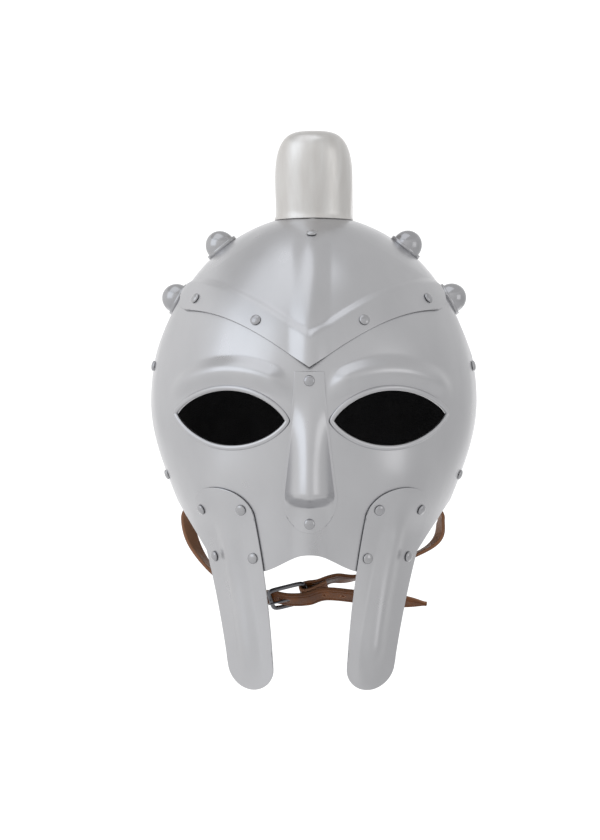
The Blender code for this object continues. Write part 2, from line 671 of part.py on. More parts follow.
def front_placement(x, height, lift):
    """Placement on a raised surface at a front-view place, with its Z axis square to that surface."""
    step = 0.0005
    places = [(x, height), (x + step, height), (x, height + step)]
    middle, across, up = (face_point(px, np.float64(ph), lift(px, ph))[0] for px, ph in places)
    normal = Vector(across - middle).cross(Vector(up - middle)).normalized()
    turn = normal.to_track_quat("Z", "Y").to_matrix().to_4x4()
    return Matrix.Translation(Vector(middle)) @ turn


def cheek_rivet_places():
    """Distance from the middle line and drop from the top edge of each cheek guard rivet."""
    top_row = RIVET_HEAD_RADIUS * 4.2
    low_row = CHIN_DROP - CHEEK_TOP_DROP - RIVET_HEAD_RADIUS * 2.6
    across = CHEEK_TOP_HALF_WIDTH - RIVET_HEAD_RADIUS * 2.1
    return ((-across, top_row), (across, top_row), (-across, low_row), (across, low_row))


def rivet_table():
    """Name, placement, low grip and high grip of each rivet."""
    rows = []
    for side, hand in ((-1, "right"), (1, "left")):
        for number, height in enumerate(TEMPLE_RIVET_HEIGHTS, start=1):
            place = placement(side * TEMPLE_RIVET_ANGLE, height)
            rows.append((f"rivet_temple_{hand}_{number}", place, LINING_INSIDE, PLATE_OUTSIDE))
        for number, share in enumerate(BROW_RIVET_SHARES, start=1):
            x = FRONTLET_HALF_WIDTH * share
            height = float(brow_line(x)) + FRONTLET_LAP / 2
            place = front_placement(side * x, height, frontlet_lift)
            depth = float(frontlet_lift(x, height))
            rows.append((f"rivet_brow_{hand}_{number}", place, LINING_INSIDE - depth, SHEET))
        for number, (across, from_top) in enumerate(cheek_rivet_places(), start=1):
            height = -CHEEK_TOP_DROP - from_top
            x = float(cheek_centre(height)) + across
            place = front_placement(side * x, height, cheek_lift)
            rows.append((f"rivet_cheek_{hand}_{number}", place, PLATE_INSIDE - OVERLAY_INSIDE, SHEET))
        place = placement(side * STRAP_RIVET_ANGLE, -STRAP_RIVET_DROP)
        rows.append((f"rivet_strap_{hand}", place, LINING_INSIDE - FACET_ROOM - STRAP_THICKNESS, 0.0))
    top = FRONTLET_TOP_RISE - BROW_TOP_RIVET_DROP
    depth = float(frontlet_lift(0.0, top))
    rows.append(("rivet_brow_top", front_placement(0.0, top, frontlet_lift), LINING_INSIDE - depth, SHEET))
    for name, height in (("rivet_nose_top", NOSE_TOP_RISE - NOSE_FLAT_END / 2),
                         ("rivet_nose_tip", -NOSE_TIP_DROP + NOSE_FLAT_END / 2)):
        rows.append((name, front_placement(0.0, height, nose_lift), PLATE_INSIDE - OVERLAY_INSIDE, SHEET))
    return rows


def build_fasteners(steel):
    """Rivets and bosses, and one cutter of all the holes that their shanks pass."""
    cutters = []
    for name, place, low, high in rivet_table():
        turned(name, rivet_profile(low, high), 7, place, steel)
        cutters.append(turned("hole", hole_profile(low, high), 6, place, steel))
    for side, hand in ((-1, "right"), (1, "left")):
        for number, (azimuth, from_top) in enumerate(BOSS_PLACES, start=1):
            place = placement(side * azimuth, DOME_RISE * math.cos(from_top))
            turned(f"boss_{hand}_{number}", boss_profile(LINING_INSIDE, 0.0), 10, place, steel)
            cutters.append(turned("hole", hole_profile(LINING_INSIDE, 0.0), 6, place, steel))
    return joined("hole_cutters", cutters)


def smooth_path(points, steps):
    """Catmull-Rom curve through the points, with even shares of steps between them."""
    points = np.array(points, float)
    padded = np.vstack([2 * points[0] - points[1], points, 2 * points[-1] - points[-2]])
    share = np.linspace(0.0, len(points) - 1.0, steps)
    first = np.minimum(share.astype(int), len(points) - 2)
    local = (share - first)[:, None]
    before, start, end, after = (padded[first + k] for k in range(4))
    return 0.5 * (2 * start + (end - before) * local + (2 * before - 5 * start + 4 * end - after) * local ** 2
                  + (3 * start - before - 3 * end + after) * local ** 3)


def ribbon(name, path, across, width, material):
    """Strap of rectangular section along a path, its width lying along the given directions."""
    along = np.gradient(path, axis=0)
    along /= np.linalg.norm(along, axis=-1, keepdims=True)
    across = across - along * np.sum(across * along, axis=-1, keepdims=True)
    across /= np.linalg.norm(across, axis=-1, keepdims=True)
    normal = np.cross(along, across)
    side = across * np.asarray(width)[:, None] / 2
    thick = normal * STRAP_THICKNESS / 2
    ring = [path + side + thick, path - side + thick, path - side - thick, path + side - thick]
    points = np.stack(ring, axis=1)
    item = grid_object(name, points, material, wrap=True)
    work = bmesh.new()
    work.from_mesh(item.data)
    bmesh.ops.holes_fill(work, edges=work.edges, sides=4)
    bmesh.ops.recalc_face_normals(work, faces=work.faces)
    work.to_mesh(item.data)
    work.free()
    return item


def buckle_point(along, out, across=0.0):
    """Point at the buckle, from its middle."""
    centre = np.array([BUCKLE_X, BUCKLE_Y, WIDEST_Z - BUCKLE_DROP])
    return centre + BUCKLE_ALONG * along + BUCKLE_OUT * out + BUCKLE_ACROSS * across


def strap_anchor(side):
    """Points of a strap's riveted end: flat on the lining, from above the rivet to below the bowl's edge."""
    out = LINING_INSIDE - FACET_ROOM - STRAP_THICKNESS / 2
    heights = np.array([-STRAP_RIVET_DROP + STRAP_TAB, -STRAP_RIVET_DROP, -NECK_DROP - STRAP_TAB * 0.5])
    points, _ = on_bowl(side * STRAP_RIVET_ANGLE, heights, out)
    return points


def blend_across(points, side):
    """Width directions along a strap: fore and aft at its rivet, twisting open, then the buckle's own."""
    share = smooth_step(np.linspace(-0.25, 2.2, points))[:, None]
    twist = np.array([-side * STRAP_TWIST, 0.0, 0.0]) * 4.0 * share * (1.0 - share)
    return np.array([0.0, 1.0, 0.0]) * (1.0 - share) + BUCKLE_ACROSS * share + twist


def build_straps(material):
    """The two halves of the chin strap, as they hang when buckled."""
    fold = BUCKLE_WIRE_RADIUS + CLEARANCE + STRAP_THICKNESS / 2
    under = fold + CLEARANCE
    over = fold + STRAP_THICKNESS + CLEARANCE * 2
    end = BUCKLE_HALF_LENGTH
    chin = buckle_point(0.0, 0.0)
    right = strap_anchor(-1)
    tip_route = [*right, right[2] + (-0.003, -0.005, -0.014), right[2] + (0.004, -0.014, -0.034),
                 chin + (-0.046, 0.010, 0.009),
                 buckle_point(-end - 0.010, -under), buckle_point(-end, -under),
                 buckle_point(0.0, over - fold), buckle_point(end, over), buckle_point(end + 0.014, over),
                 chin + (end + 0.045, -0.001, -0.0015), chin + (TIP_REACH, 0.004, -0.0055)]
    steps = 36
    width = np.full(steps, STRAP_WIDTH)
    width[-2:] *= (0.75, 0.20)
    tip = ribbon("strap_tip", smooth_path(tip_route, steps), blend_across(steps, -1), width, material)

    left = strap_anchor(1)
    bend = np.radians([-90, -135, -180, -225, -270])
    around = [buckle_point(end + fold * math.cos(angle), fold * math.sin(angle)) for angle in bend]
    hold_route = [*left, left[2] + (0.003, -0.005, -0.014), left[2] + (-0.005, -0.013, -0.032),
                  chin + (0.050, 0.010, 0.013), buckle_point(end + 0.020, -fold - 0.002),
                  buckle_point(end + 0.008, -fold), buckle_point(end + fold, -fold), *around,
                  buckle_point(end + fold, fold), buckle_point(end + 0.008, fold - 0.001),
                  buckle_point(end + 0.015, fold - 0.003)]
    hold = ribbon("strap_buckle", smooth_path(hold_route, steps), blend_across(steps, 1),
                  np.full(steps, STRAP_WIDTH), material)
    return tip, hold


def open_tube(name, path, radius, sides, material):
    """Tube along an open path, made from a bevelled curve with filled ends."""
    curve = bpy.data.curves.new(name, "CURVE")
    curve.dimensions = "3D"
    curve.bevel_depth = radius
    curve.bevel_resolution = sides
    curve.use_fill_caps = True
    spline = curve.splines.new("POLY")
    spline.points.add(len(path) - 1)
    for point, place in zip(spline.points, path):
        point.co = (*place, 1.0)
    curve.materials.append(material)
    item = bpy.data.objects.new(name, curve)
    bpy.context.collection.objects.link(item)
    return item


def build_buckle(material):
    """The buckle's oblong frame and its prong."""
    turn = np.linspace(0.0, 2.0 * math.pi, 20, endpoint=False)
    power = 2.0 / BUCKLE_SQUARENESS
    along = BUCKLE_HALF_LENGTH * np.sign(np.cos(turn)) * np.abs(np.cos(turn)) ** power
    across = BUCKLE_HALF_WIDTH * np.sign(np.sin(turn)) * np.abs(np.sin(turn)) ** power
    path = buckle_point(0.0, 0.0) + along[:, None] * BUCKLE_ALONG + across[:, None] * BUCKLE_ACROSS
    normal = np.repeat(BUCKLE_OUT[None, :], len(turn), axis=0)
    closed_tube("buckle_frame", path, normal, BUCKLE_WIRE_RADIUS, 6, material)
    reach = BUCKLE_WIRE_RADIUS + CLEARANCE + PRONG_RADIUS
    bend = np.radians(np.linspace(-150.0, 90.0, 8))
    loop = [buckle_point(BUCKLE_HALF_LENGTH + reach * math.cos(angle), reach * math.sin(angle))
            for angle in bend]
    rest = [buckle_point(-BUCKLE_HALF_LENGTH - PRONG_RADIUS * 2, reach)]
    return open_tube("buckle_prong", [*loop, *rest], PRONG_RADIUS, 1, material)


def prong_slot_cutter():
    """Box that clears the prong through both straps."""
    reach = BUCKLE_WIRE_RADIUS + CLEARANCE + 2 * PRONG_RADIUS + CLEARANCE
    half_across = PRONG_RADIUS + CLEARANCE * 2
    low = (-BUCKLE_HALF_LENGTH * 0.55, -reach)
    high = (BUCKLE_HALF_LENGTH + reach, reach)
    corners = [buckle_point(a, o, c) for a in (low[0], high[0]) for o in (low[1], high[1])
               for c in (-half_across, half_across)]
    faces = [(0, 1, 3, 2), (4, 6, 7, 5), (0, 4, 5, 1), (2, 3, 7, 6), (0, 2, 6, 4), (1, 5, 7, 3)]
    mesh = bpy.data.meshes.new("prong_slot_cutter")
    mesh.from_pydata([tuple(corner) for corner in corners], [], faces)
    cutter = bpy.data.objects.new("prong_slot_cutter", mesh)
    bpy.context.collection.objects.link(cutter)
    face_out(cutter)
    hide_guide(cutter)
    return cutter


def main():
    """Build the helmet."""
    clear_scene()
    steel = make_material("polished_steel", (0.62, 0.62, 0.63), 0.32, 1.0)
    crest_steel = make_material("brushed_steel", (0.58, 0.57, 0.56), 0.42, 1.0)
    dark_steel = make_material("dark_steel", (0.12, 0.12, 0.13), 0.30, 1.0)
    brown_leather = make_material("brown_leather", (0.25, 0.10, 0.04), 0.50, 0.0)
    black_leather = make_material("black_leather", (0.012, 0.012, 0.013), 0.60, 0.0)
    skull = build_skull(steel)
    lining = build_lining(black_leather)
    plate = build_face_plate(steel)
    frontlet = build_frontlet(steel)
    nose = build_nose_guard(steel)
    cheeks = [build_cheek_guard("cheek_guard_right", -1, steel),
              build_cheek_guard("cheek_guard_left", 1, steel)]
    build_crest(crest_steel)
    tip, hold = build_straps(brown_leather)
    build_buckle(dark_steel)
    holes = build_fasteners(steel)
    for item in (skull, lining, plate, frontlet, nose, *cheeks, tip, hold):
        cut(item, holes)
    slot = prong_slot_cutter()
    cut(tip, slot)
    cut(hold, slot)


main()
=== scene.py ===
# %% [markdown]
# A gladiator helmet in sheet steel, dressed for its portrait. The real one is hammered and pressed from
# sheet about a millimetre thick, riveted together, lined with leather and held on by a buckled strap.
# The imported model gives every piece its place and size. Here each piece is made again as a fine surface
# in that same place, because a polished sheet shows each flat facet of a coarse mesh as a hard edge in
# its reflections.

# %% Load the frame
import math

import bmesh
import bpy
import numpy as np
from mathutils import Matrix, Vector


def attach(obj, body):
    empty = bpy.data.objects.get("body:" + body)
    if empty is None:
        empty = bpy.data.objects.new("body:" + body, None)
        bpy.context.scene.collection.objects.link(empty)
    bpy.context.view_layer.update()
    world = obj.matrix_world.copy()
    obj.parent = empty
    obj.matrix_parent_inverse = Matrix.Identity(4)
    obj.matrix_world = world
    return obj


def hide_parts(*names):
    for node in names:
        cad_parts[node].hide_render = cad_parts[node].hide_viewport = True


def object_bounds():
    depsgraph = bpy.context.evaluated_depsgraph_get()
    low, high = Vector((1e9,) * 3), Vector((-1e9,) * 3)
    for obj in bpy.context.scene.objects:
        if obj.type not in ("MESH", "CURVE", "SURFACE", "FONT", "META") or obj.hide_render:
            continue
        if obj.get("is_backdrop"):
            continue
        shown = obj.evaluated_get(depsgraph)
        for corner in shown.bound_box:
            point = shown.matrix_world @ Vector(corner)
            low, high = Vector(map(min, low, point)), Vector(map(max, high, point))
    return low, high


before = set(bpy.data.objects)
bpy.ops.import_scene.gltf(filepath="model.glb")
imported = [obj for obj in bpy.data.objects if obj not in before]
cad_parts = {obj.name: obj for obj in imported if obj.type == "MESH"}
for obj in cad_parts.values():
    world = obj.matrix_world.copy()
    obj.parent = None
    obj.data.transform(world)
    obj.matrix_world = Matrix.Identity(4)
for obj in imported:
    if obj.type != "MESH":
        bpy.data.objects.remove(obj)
cad_low, cad_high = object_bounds()
print(f"frame: {len(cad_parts)} nodes, "
      + " x ".join(f"{1000 * size:.0f}" for size in cad_high - cad_low) + " mm")

# %% [markdown]
# The camera comes first. The portrait is taken level with the eyes and almost square to the face, from
# far enough off that the face isn't swollen by perspective. A camera with a long lens does that. Its
# focal length follows from how many millimetres of the helmet one pixel of the picture covers, so the
# helmet fills the frame as it does there.

# %% The camera
PICTURE_WIDTH = 600
PICTURE_HEIGHT = 840
PIXEL_SIZE = 0.00070
CAMERA_DISTANCE = 1.60
SENSOR_SIZE = 36.0
CAMERA_TURN = math.radians(1.8)
MIDDLE_COLUMN = 314
EYE_ROW = 427
EYE_LEVEL = -0.144


def set_camera():
    """Place a level camera: the lens angle is the picture's height at the helmet over the distance."""
    data = bpy.data.cameras.new("portrait_camera")
    data.sensor_width = SENSOR_SIZE
    data.lens = SENSOR_SIZE * CAMERA_DISTANCE / (PICTURE_HEIGHT * PIXEL_SIZE)
    camera = bpy.data.objects.new("portrait_camera", data)
    bpy.context.collection.objects.link(camera)
    aside = (PICTURE_WIDTH / 2 - MIDDLE_COLUMN) * PIXEL_SIZE
    level = EYE_LEVEL + (EYE_ROW - PICTURE_HEIGHT / 2) * PIXEL_SIZE
    turn = Matrix.Rotation(CAMERA_TURN, 3, "Z")
    camera.location = turn @ Vector((aside, -CAMERA_DISTANCE, 0.0)) + Vector((0.0, 0.0, level))
    camera.rotation_euler = (math.radians(90), 0.0, CAMERA_TURN)
    bpy.context.scene.camera = camera
    return data.lens


print(f"camera: {set_camera():.0f} mm lens")

# %% [markdown]
# Every plate of the helmet follows one bowl. It could be sculpted, but then the plates wouldn't nest.
# Instead the bowl is a formula: half an ellipsoid above its widest line, and oval sections that taper
# below it. A place on it is an azimuth, measured from the face, and a height above the widest line. A
# plate is then a stretch of those two numbers, laid a little way out of the bowl along its normals, and
# plates that lap keep their distance by themselves.

# %% Sizes of the bowl, in metres
SHEET = 0.0012
LAP_GAP = 0.0006
LINING = 0.0020
LINING_GAP = 0.0008
CLEARANCE = 0.0003
HALF_WIDTH = 0.1120
FRONT_DEPTH = 0.1180
BACK_DEPTH = 0.1260
DOME_RISE = 0.1300
JAW_DROP = 0.0880
JAW_HALF_WIDTH = 0.0857
JAW_FRONT_DEPTH = 0.1080
JAW_BACK_DEPTH = 0.1190
TAPER_SLOPE = 1.25
TAPER_FADE = 0.35
WIDEST_Z = -(DOME_RISE - SHEET - LINING_GAP - LINING)
PLATE_INSIDE = LAP_GAP
OVERLAY_INSIDE = LAP_GAP + SHEET + LAP_GAP
SLOPE_STEP = 1e-5
LEAST_HALF_SIZE = 1e-4
FRONT_LIMIT = 0.995


def smooth_step(value):
    """0 below 0, 1 above 1, and 3 s² - 2 s³ between."""
    share = np.clip(value, 0.0, 1.0)
    return share * share * (3.0 - 2.0 * share)


def swell(distance, half_width):
    """A soft swelling: 1 on a line, falling to 0 at a half width by the smooth step."""
    return smooth_step(1.0 - np.abs(distance) / half_width)


def unit(vectors):
    """The vectors at a length of 1."""
    return vectors / np.linalg.norm(vectors, axis=-1, keepdims=True)


def square_to(along, vectors):
    """The part of the vectors that is square to unit directions, at a length of 1."""
    return unit(vectors - along * np.sum(vectors * along, axis=-1, keepdims=True))


def full_turn(steps):
    """Even angles once round, without the last, which would fall on the first."""
    return np.linspace(0.0, 2.0 * math.pi, steps, endpoint=False)


def taper(drop):
    """Share of the taper at a share s of the jaw's drop: s²(3 - k + (k - 2) s), with k the slope it ends at.

    It starts level, as the ellipsoid above ends, so no crease shows there. Past the jaw it fades
    exponentially.
    """
    share = drop / JAW_DROP
    past = np.maximum(share - 1.0, 0.0)
    fading = TAPER_SLOPE * TAPER_FADE * (1.0 - np.exp(-past / TAPER_FADE))
    above = np.clip(share, 0.0, 1.0)
    return above ** 2 * (3.0 - TAPER_SLOPE + (TAPER_SLOPE - 2.0) * above) + fading


def half_size(height, widest, jaw):
    """Half size of the level section: widest · sqrt(1 - (height / rise)²) above, tapered to the jaw below."""
    dome = widest * np.sqrt(np.clip(1.0 - (height / DOME_RISE) ** 2, 0.0, 1.0))
    return np.where(height > 0.0, dome, widest - (widest - jaw) * taper(np.maximum(-height, 0.0)))


def on_bowl(azimuth, height, out=0.0):
    """Points at (a sin azimuth, -b cos azimuth, height), moved out along the unit gradient of the surface."""
    azimuth, height, out = np.broadcast_arrays(np.asarray(azimuth, float), height, out)
    in_front = np.cos(azimuth) > 0.0
    depth = np.where(in_front, FRONT_DEPTH, BACK_DEPTH)
    jaw_depth = np.where(in_front, JAW_FRONT_DEPTH, JAW_BACK_DEPTH)
    across = half_size(height, HALF_WIDTH, JAW_HALF_WIDTH)
    along = half_size(height, depth, jaw_depth)
    point = np.stack([across * np.sin(azimuth), -along * np.cos(azimuth), height], axis=-1)
    upper = np.stack([point[..., 0] / HALF_WIDTH ** 2, point[..., 1] / depth ** 2,
                      height / DOME_RISE ** 2], axis=-1)
    drop = np.maximum(-height, SLOPE_STEP)
    slope = (taper(drop + SLOPE_STEP) - taper(drop - SLOPE_STEP)) / (2.0 * SLOPE_STEP)
    across = np.maximum(across, LEAST_HALF_SIZE)
    along = np.maximum(along, LEAST_HALF_SIZE)
    narrowing = (point[..., 0] ** 2 * (HALF_WIDTH - JAW_HALF_WIDTH) / across ** 3
                 + point[..., 1] ** 2 * (depth - jaw_depth) / along ** 3) * slope
    lower = np.stack([point[..., 0] / across ** 2, point[..., 1] / along ** 2, -narrowing], axis=-1)
    normal = unit(np.where((height > 0.0)[..., None], upper, lower))
    point = point + normal * out[..., None]
    point[..., 2] += WIDEST_Z
    return point, normal


def azimuth_of(x, height):
    """Azimuth of the place on the bowl's front that a front view shows at x: arcsin(x / half width)."""
    share = x / half_size(height, HALF_WIDTH, JAW_HALF_WIDTH)
    return np.arcsin(np.clip(share, -FRONT_LIMIT, FRONT_LIMIT))


def on_front(x, height, out):
    """Point and normal over the bowl's front at a place given as in a front view."""
    return on_bowl(azimuth_of(x, height), height, out)


# %% [markdown]
# A surface here is an array of points in rows and columns. Quads between neighbours make it a mesh, and
# one weld closes its poles and seams. The sheet then gets its thickness from Solidify and its softened
# edges from Bevel, because a real cut edge is filed, and it is the thin bright line along it that tells
# the eye the plate is steel.

# %% From an array of points to a piece
FILED_EDGE = 0.00035
FILED_SEGMENTS = 2
CUT_ANGLE = math.radians(55)
WELD_DISTANCE = 2e-6
SLIVER = 1e-7


def grid_faces(rows, columns, wrap):
    """Corner numbers of the quads of a grid; wrapped, the last column joins the first."""
    index = np.arange(rows * columns).reshape(rows, columns)
    if wrap:
        index = np.concatenate([index, index[:, :1]], axis=1)
    quads = [index[:-1, :-1], index[:-1, 1:], index[1:, 1:], index[1:, :-1]]
    return np.stack(quads, axis=-1).reshape(-1, 4)


def many_faces(rows, columns, count):
    """Corner numbers for a number of equal wrapped grids, whose points follow one another."""
    first = rows * columns * np.arange(count)[:, None, None]
    return (grid_faces(rows, columns, wrap=True)[None] + first).reshape(-1, 4)


def spun(radius, height, sides):
    """Rings of points round the upright axis, with their radii and heights."""
    spin = full_turn(sides)
    return np.stack([radius[:, None] * np.cos(spin), radius[:, None] * np.sin(spin),
                     np.repeat(height[:, None], sides, axis=1)], axis=-1)


def make_mesh(name, points, faces):
    """Mesh of points and quads, written as whole arrays and welded where points meet."""
    mesh = bpy.data.meshes.new(name)
    mesh.vertices.add(len(points))
    mesh.vertices.foreach_set("co", np.asarray(points, np.float32).ravel())
    mesh.loops.add(faces.size)
    mesh.loops.foreach_set("vertex_index", faces.astype(np.int32).ravel())
    mesh.polygons.add(len(faces))
    mesh.polygons.foreach_set("loop_start", np.arange(0, faces.size, 4, dtype=np.int32))
    mesh.update(calc_edges=True)
    work = bmesh.new()
    work.from_mesh(mesh)
    bmesh.ops.remove_doubles(work, verts=work.verts, dist=WELD_DISTANCE)
    bmesh.ops.dissolve_degenerate(work, dist=SLIVER, edges=work.edges)
    work.to_mesh(mesh)
    work.free()
    mesh.shade_smooth()
    return mesh


def add_piece(name, mesh, material, stands_for):
    """Object of a mesh with its finish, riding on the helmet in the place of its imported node."""
    mesh.materials.append(material)
    piece = bpy.data.objects.new(name, mesh)
    bpy.context.collection.objects.link(piece)
    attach(piece, "root")
    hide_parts(stands_for)
    return piece


def add_sheet(piece, outwards):
    """Give a surface the thickness of the sheet and a filed edge."""
    wall = piece.modifiers.new("Sheet", "SOLIDIFY")
    wall.thickness = SHEET
    wall.offset = 1.0 if outwards else -1.0
    wall.use_even_offset = True
    filed = piece.modifiers.new("Filed edge", "BEVEL")
    filed.width = FILED_EDGE
    filed.segments = FILED_SEGMENTS
    filed.limit_method = "ANGLE"
    filed.angle_limit = CUT_ANGLE
    filed.use_clamp_overlap = False
    filed.harden_normals = True


def turned_out(mesh):
    """Point the faces of a closed mesh outwards."""
    work = bmesh.new()
    work.from_mesh(mesh)
    bmesh.ops.recalc_face_normals(work, faces=work.faces)
    work.to_mesh(mesh)
    work.free()
    return mesh


def report(piece):
    """Print the name and the fineness of a finished piece."""
    print(f"{piece.name}: {len(piece.data.polygons)} faces")


# %% [markdown]
# Steel is all reflection, so its finish is mostly roughness and bump. The plates are satin polished: a
# wheel leaves fine lines, the hammer leaves slow waves that bend the reflections a little, and handling
# leaves cloudy patches that are a shade duller. Noise on Object coordinates gives all three at their
# own scale. A picture of steel would slide over the pieces and look the same on each.

# %% Steel finishes
HANDLED_GRAIN_SHARE = 0.4
HANDLED_PULL = 1.5
HAMMER_GRAIN = 0.024
HAMMER_PULL = 2.4
BRUSH_GRAIN = 0.0009
BRUSH_PULL = 16.0


def start_material(name, metallic):
    """Material with a Principled shader, its node tree and its Object coordinates."""
    material = bpy.data.materials.new(name)
    material.use_nodes = True
    tree = material.node_tree
    shader = tree.nodes["Principled BSDF"]
    shader.inputs["Metallic"].default_value = metallic
    coordinates = tree.nodes.new("ShaderNodeTexCoord").outputs["Object"]
    return material, tree, shader, coordinates


def noise(tree, coordinates, grain, detail=3.0, stretch=(1.0, 1.0, 1.0)):
    """Noise whose features are about one grain long, in metres, each axis stretched by its own factor."""
    mapping = tree.nodes.new("ShaderNodeMapping")
    mapping.inputs["Scale"].default_value = [1.0 / factor for factor in stretch]
    tree.links.new(coordinates, mapping.inputs["Vector"])
    texture = tree.nodes.new("ShaderNodeTexNoise")
    texture.inputs["Scale"].default_value = 1.0 / grain
    texture.inputs["Detail"].default_value = detail
    tree.links.new(mapping.outputs["Vector"], texture.inputs["Vector"])
    return texture.outputs["Fac"]


def feed(tree, value, socket):
    """Put a number, a colour or another node's output into a socket."""
    if isinstance(value, bpy.types.NodeSocket):
        tree.links.new(value, socket)
    else:
        socket.default_value = value


def spread(tree, value, low, high, start=0.3, end=0.7):
    """A value between start and end, spread out to run from low to high."""
    node = tree.nodes.new("ShaderNodeMapRange")
    node.inputs["From Min"].default_value = start
    node.inputs["From Max"].default_value = end
    feed(tree, low, node.inputs["To Min"])
    feed(tree, high, node.inputs["To Max"])
    feed(tree, value, node.inputs["Value"])
    return node.outputs["Result"]


def blend(tree, factor, first, second):
    """Mix of two colours, from the first at a factor of 0 to the second at 1."""
    node = tree.nodes.new("ShaderNodeMix")
    node.data_type = "RGBA"
    feed(tree, factor, node.inputs[0])
    for colour, socket in ((first, node.inputs[6]), (second, node.inputs[7])):
        feed(tree, (*colour, 1.0) if isinstance(colour, tuple) else colour, socket)
    return node.outputs[2]


def relief(tree, value, depth, under=None):
    """Bump of a depth in metres, on top of another bump."""
    node = tree.nodes.new("ShaderNodeBump")
    node.inputs["Distance"].default_value = depth
    tree.links.new(value, node.inputs["Height"])
    if under is not None:
        tree.links.new(under, node.inputs["Normal"])
    return node.outputs["Normal"]


def steel(name, light, dull, smooth, rough, wave, grain=0.045, pull=1.5, lines=0.000006):
    """Worked steel: clouds of dull in light, roughness from smooth to rough, slow waves and fine lines.

    The clouds are a grain wide. A factor pulls them upright, as a wheel that is run up and down leaves them.
    """
    material, tree, shader, coordinates = start_material(name, 1.0)
    clouds = noise(tree, coordinates, grain, detail=5.0, stretch=(1.0, 1.0, pull))
    tree.links.new(blend(tree, spread(tree, clouds, 0.0, 1.0), light, dull), shader.inputs["Base Color"])
    handled = noise(tree, coordinates, grain * HANDLED_GRAIN_SHARE, detail=6.0,
                    stretch=(1.0, 1.0, pull * HANDLED_PULL))
    tree.links.new(spread(tree, handled, smooth, rough), shader.inputs["Roughness"])
    hammer = noise(tree, coordinates, HAMMER_GRAIN, detail=1.0, stretch=(1.0, 1.0, HAMMER_PULL))
    brush = noise(tree, coordinates, BRUSH_GRAIN, stretch=(1.0, 1.0, BRUSH_PULL))
    tree.links.new(relief(tree, brush, lines, relief(tree, hammer, wave)), shader.inputs["Normal"])
    return material


plate_steel = steel("plate_steel", (0.60, 0.60, 0.615), (0.545, 0.545, 0.56), 0.27, 0.36, wave=0.00016)
fastener_steel = steel("fastener_steel", (0.50, 0.50, 0.51), (0.42, 0.42, 0.44), 0.16, 0.26, wave=0.00002)
crest_steel = steel("crest_steel", (0.75, 0.74, 0.725), (0.665, 0.645, 0.625), 0.31, 0.40, wave=0.00012,
                    grain=0.0080, pull=5.0, lines=0.00001)
buckle_steel = steel("buckle_steel", (0.17, 0.17, 0.18), (0.09, 0.09, 0.10), 0.16, 0.34, wave=0.00002)
print(f"finishes: {len(bpy.data.materials)} materials so far, with those of the frame")

# %% [markdown]
# The leather of the lining is matt, with a near-black colour that is painted shade for the helmet's hollow.
# That of the strap is brown, waxed on its grain side and lighter on its raw inner side and its worn edges.
# Leather grain is a net of fine creases round small islands, which a Voronoi texture's distance to its
# edges draws well, and the creases are painted darker as shade. The strap carries an attribute that tells
# the two sides apart, so that one material can finish both, as one hide does.

# %% Leather finishes
WAXED_GLOSS = 0.24
CREASE_WIDTH_SHARE = 0.22
# The creases are painted darker as shade: a share of the way towards a darker copy of the dark colour.
CREASE_PAINTED_SHADE = 0.35
CREASE_DARKNESS = 0.45
MOTTLE_GRAIN = 0.012
WORN_GRAIN = 0.006
FINE_GRAIN = 0.0005
FINE_DEPTH_SHARE = 0.4


def creases(tree, coordinates, size):
    """Net of creases round islands of a size in metres: 0 in a crease, rising on the island."""
    texture = tree.nodes.new("ShaderNodeTexVoronoi")
    texture.feature = "DISTANCE_TO_EDGE"
    texture.inputs["Scale"].default_value = 1.0 / size
    tree.links.new(coordinates, texture.inputs["Vector"])
    return spread(tree, texture.outputs["Distance"], 0.0, 1.0, start=0.0, end=CREASE_WIDTH_SHARE)


def leather(name, light, dark, smooth, rough, island, depth, raw_side=None):
    """Tanned hide: mottled between two colours, creased with painted shade, and with a raw side if one is
    given.
    """
    material, tree, shader, coordinates = start_material(name, 0.0)
    mottle = spread(tree, noise(tree, coordinates, MOTTLE_GRAIN, detail=6.0), 0.0, 1.0)
    colour = blend(tree, mottle, dark, light)
    net = creases(tree, coordinates, island)
    # Painted shade: each crease is darkened towards a darker copy of the dark colour.
    colour = blend(tree, spread(tree, net, CREASE_PAINTED_SHADE, 0.0, start=0.0, end=1.0), colour,
                   tuple(CREASE_DARKNESS * channel for channel in dark))
    if raw_side is not None:
        side = tree.nodes.new("ShaderNodeAttribute")
        side.attribute_name = "grain_side"
        colour = blend(tree, side.outputs["Fac"], raw_side, colour)
    tree.links.new(colour, shader.inputs["Base Color"])
    shader.inputs["Specular IOR Level"].default_value = WAXED_GLOSS
    worn = noise(tree, coordinates, WORN_GRAIN, detail=4.0)
    tree.links.new(spread(tree, worn, smooth, rough), shader.inputs["Roughness"])
    fine = relief(tree, noise(tree, coordinates, FINE_GRAIN, detail=4.0), depth * FINE_DEPTH_SHARE)
    tree.links.new(relief(tree, net, depth, fine), shader.inputs["Normal"])
    return material


# Painted shade: the lining's near-black colours stand in for the shade inside the helmet's hollow.
lining_leather_and_shade = leather("lining_leather_and_shade", (0.016, 0.016, 0.017), (0.008, 0.008, 0.009), 0.50, 0.72,
                         island=0.0016, depth=0.00012)
strap_leather = leather("strap_leather", (0.205, 0.066, 0.012), (0.080, 0.024, 0.005), 0.36, 0.55,
                        island=0.0011, depth=0.00005, raw_side=(0.42, 0.215, 0.125))
print("leather: lining_leather_and_shade and strap_leather")

# %% [markdown]
# The skull is the bowl itself: raised from one disc of sheet, trimmed high over the face and low
# behind, and flared at the neck so that a blow slides off. It is a grid of azimuths and heights. Its
# lower edge dips from the face opening to the neck by a smooth step of the azimuth, and its rows share
# out the height above that edge. At the neck the edge is rolled over a wire, which a real helmet has so
# that it doesn't cut or buckle.

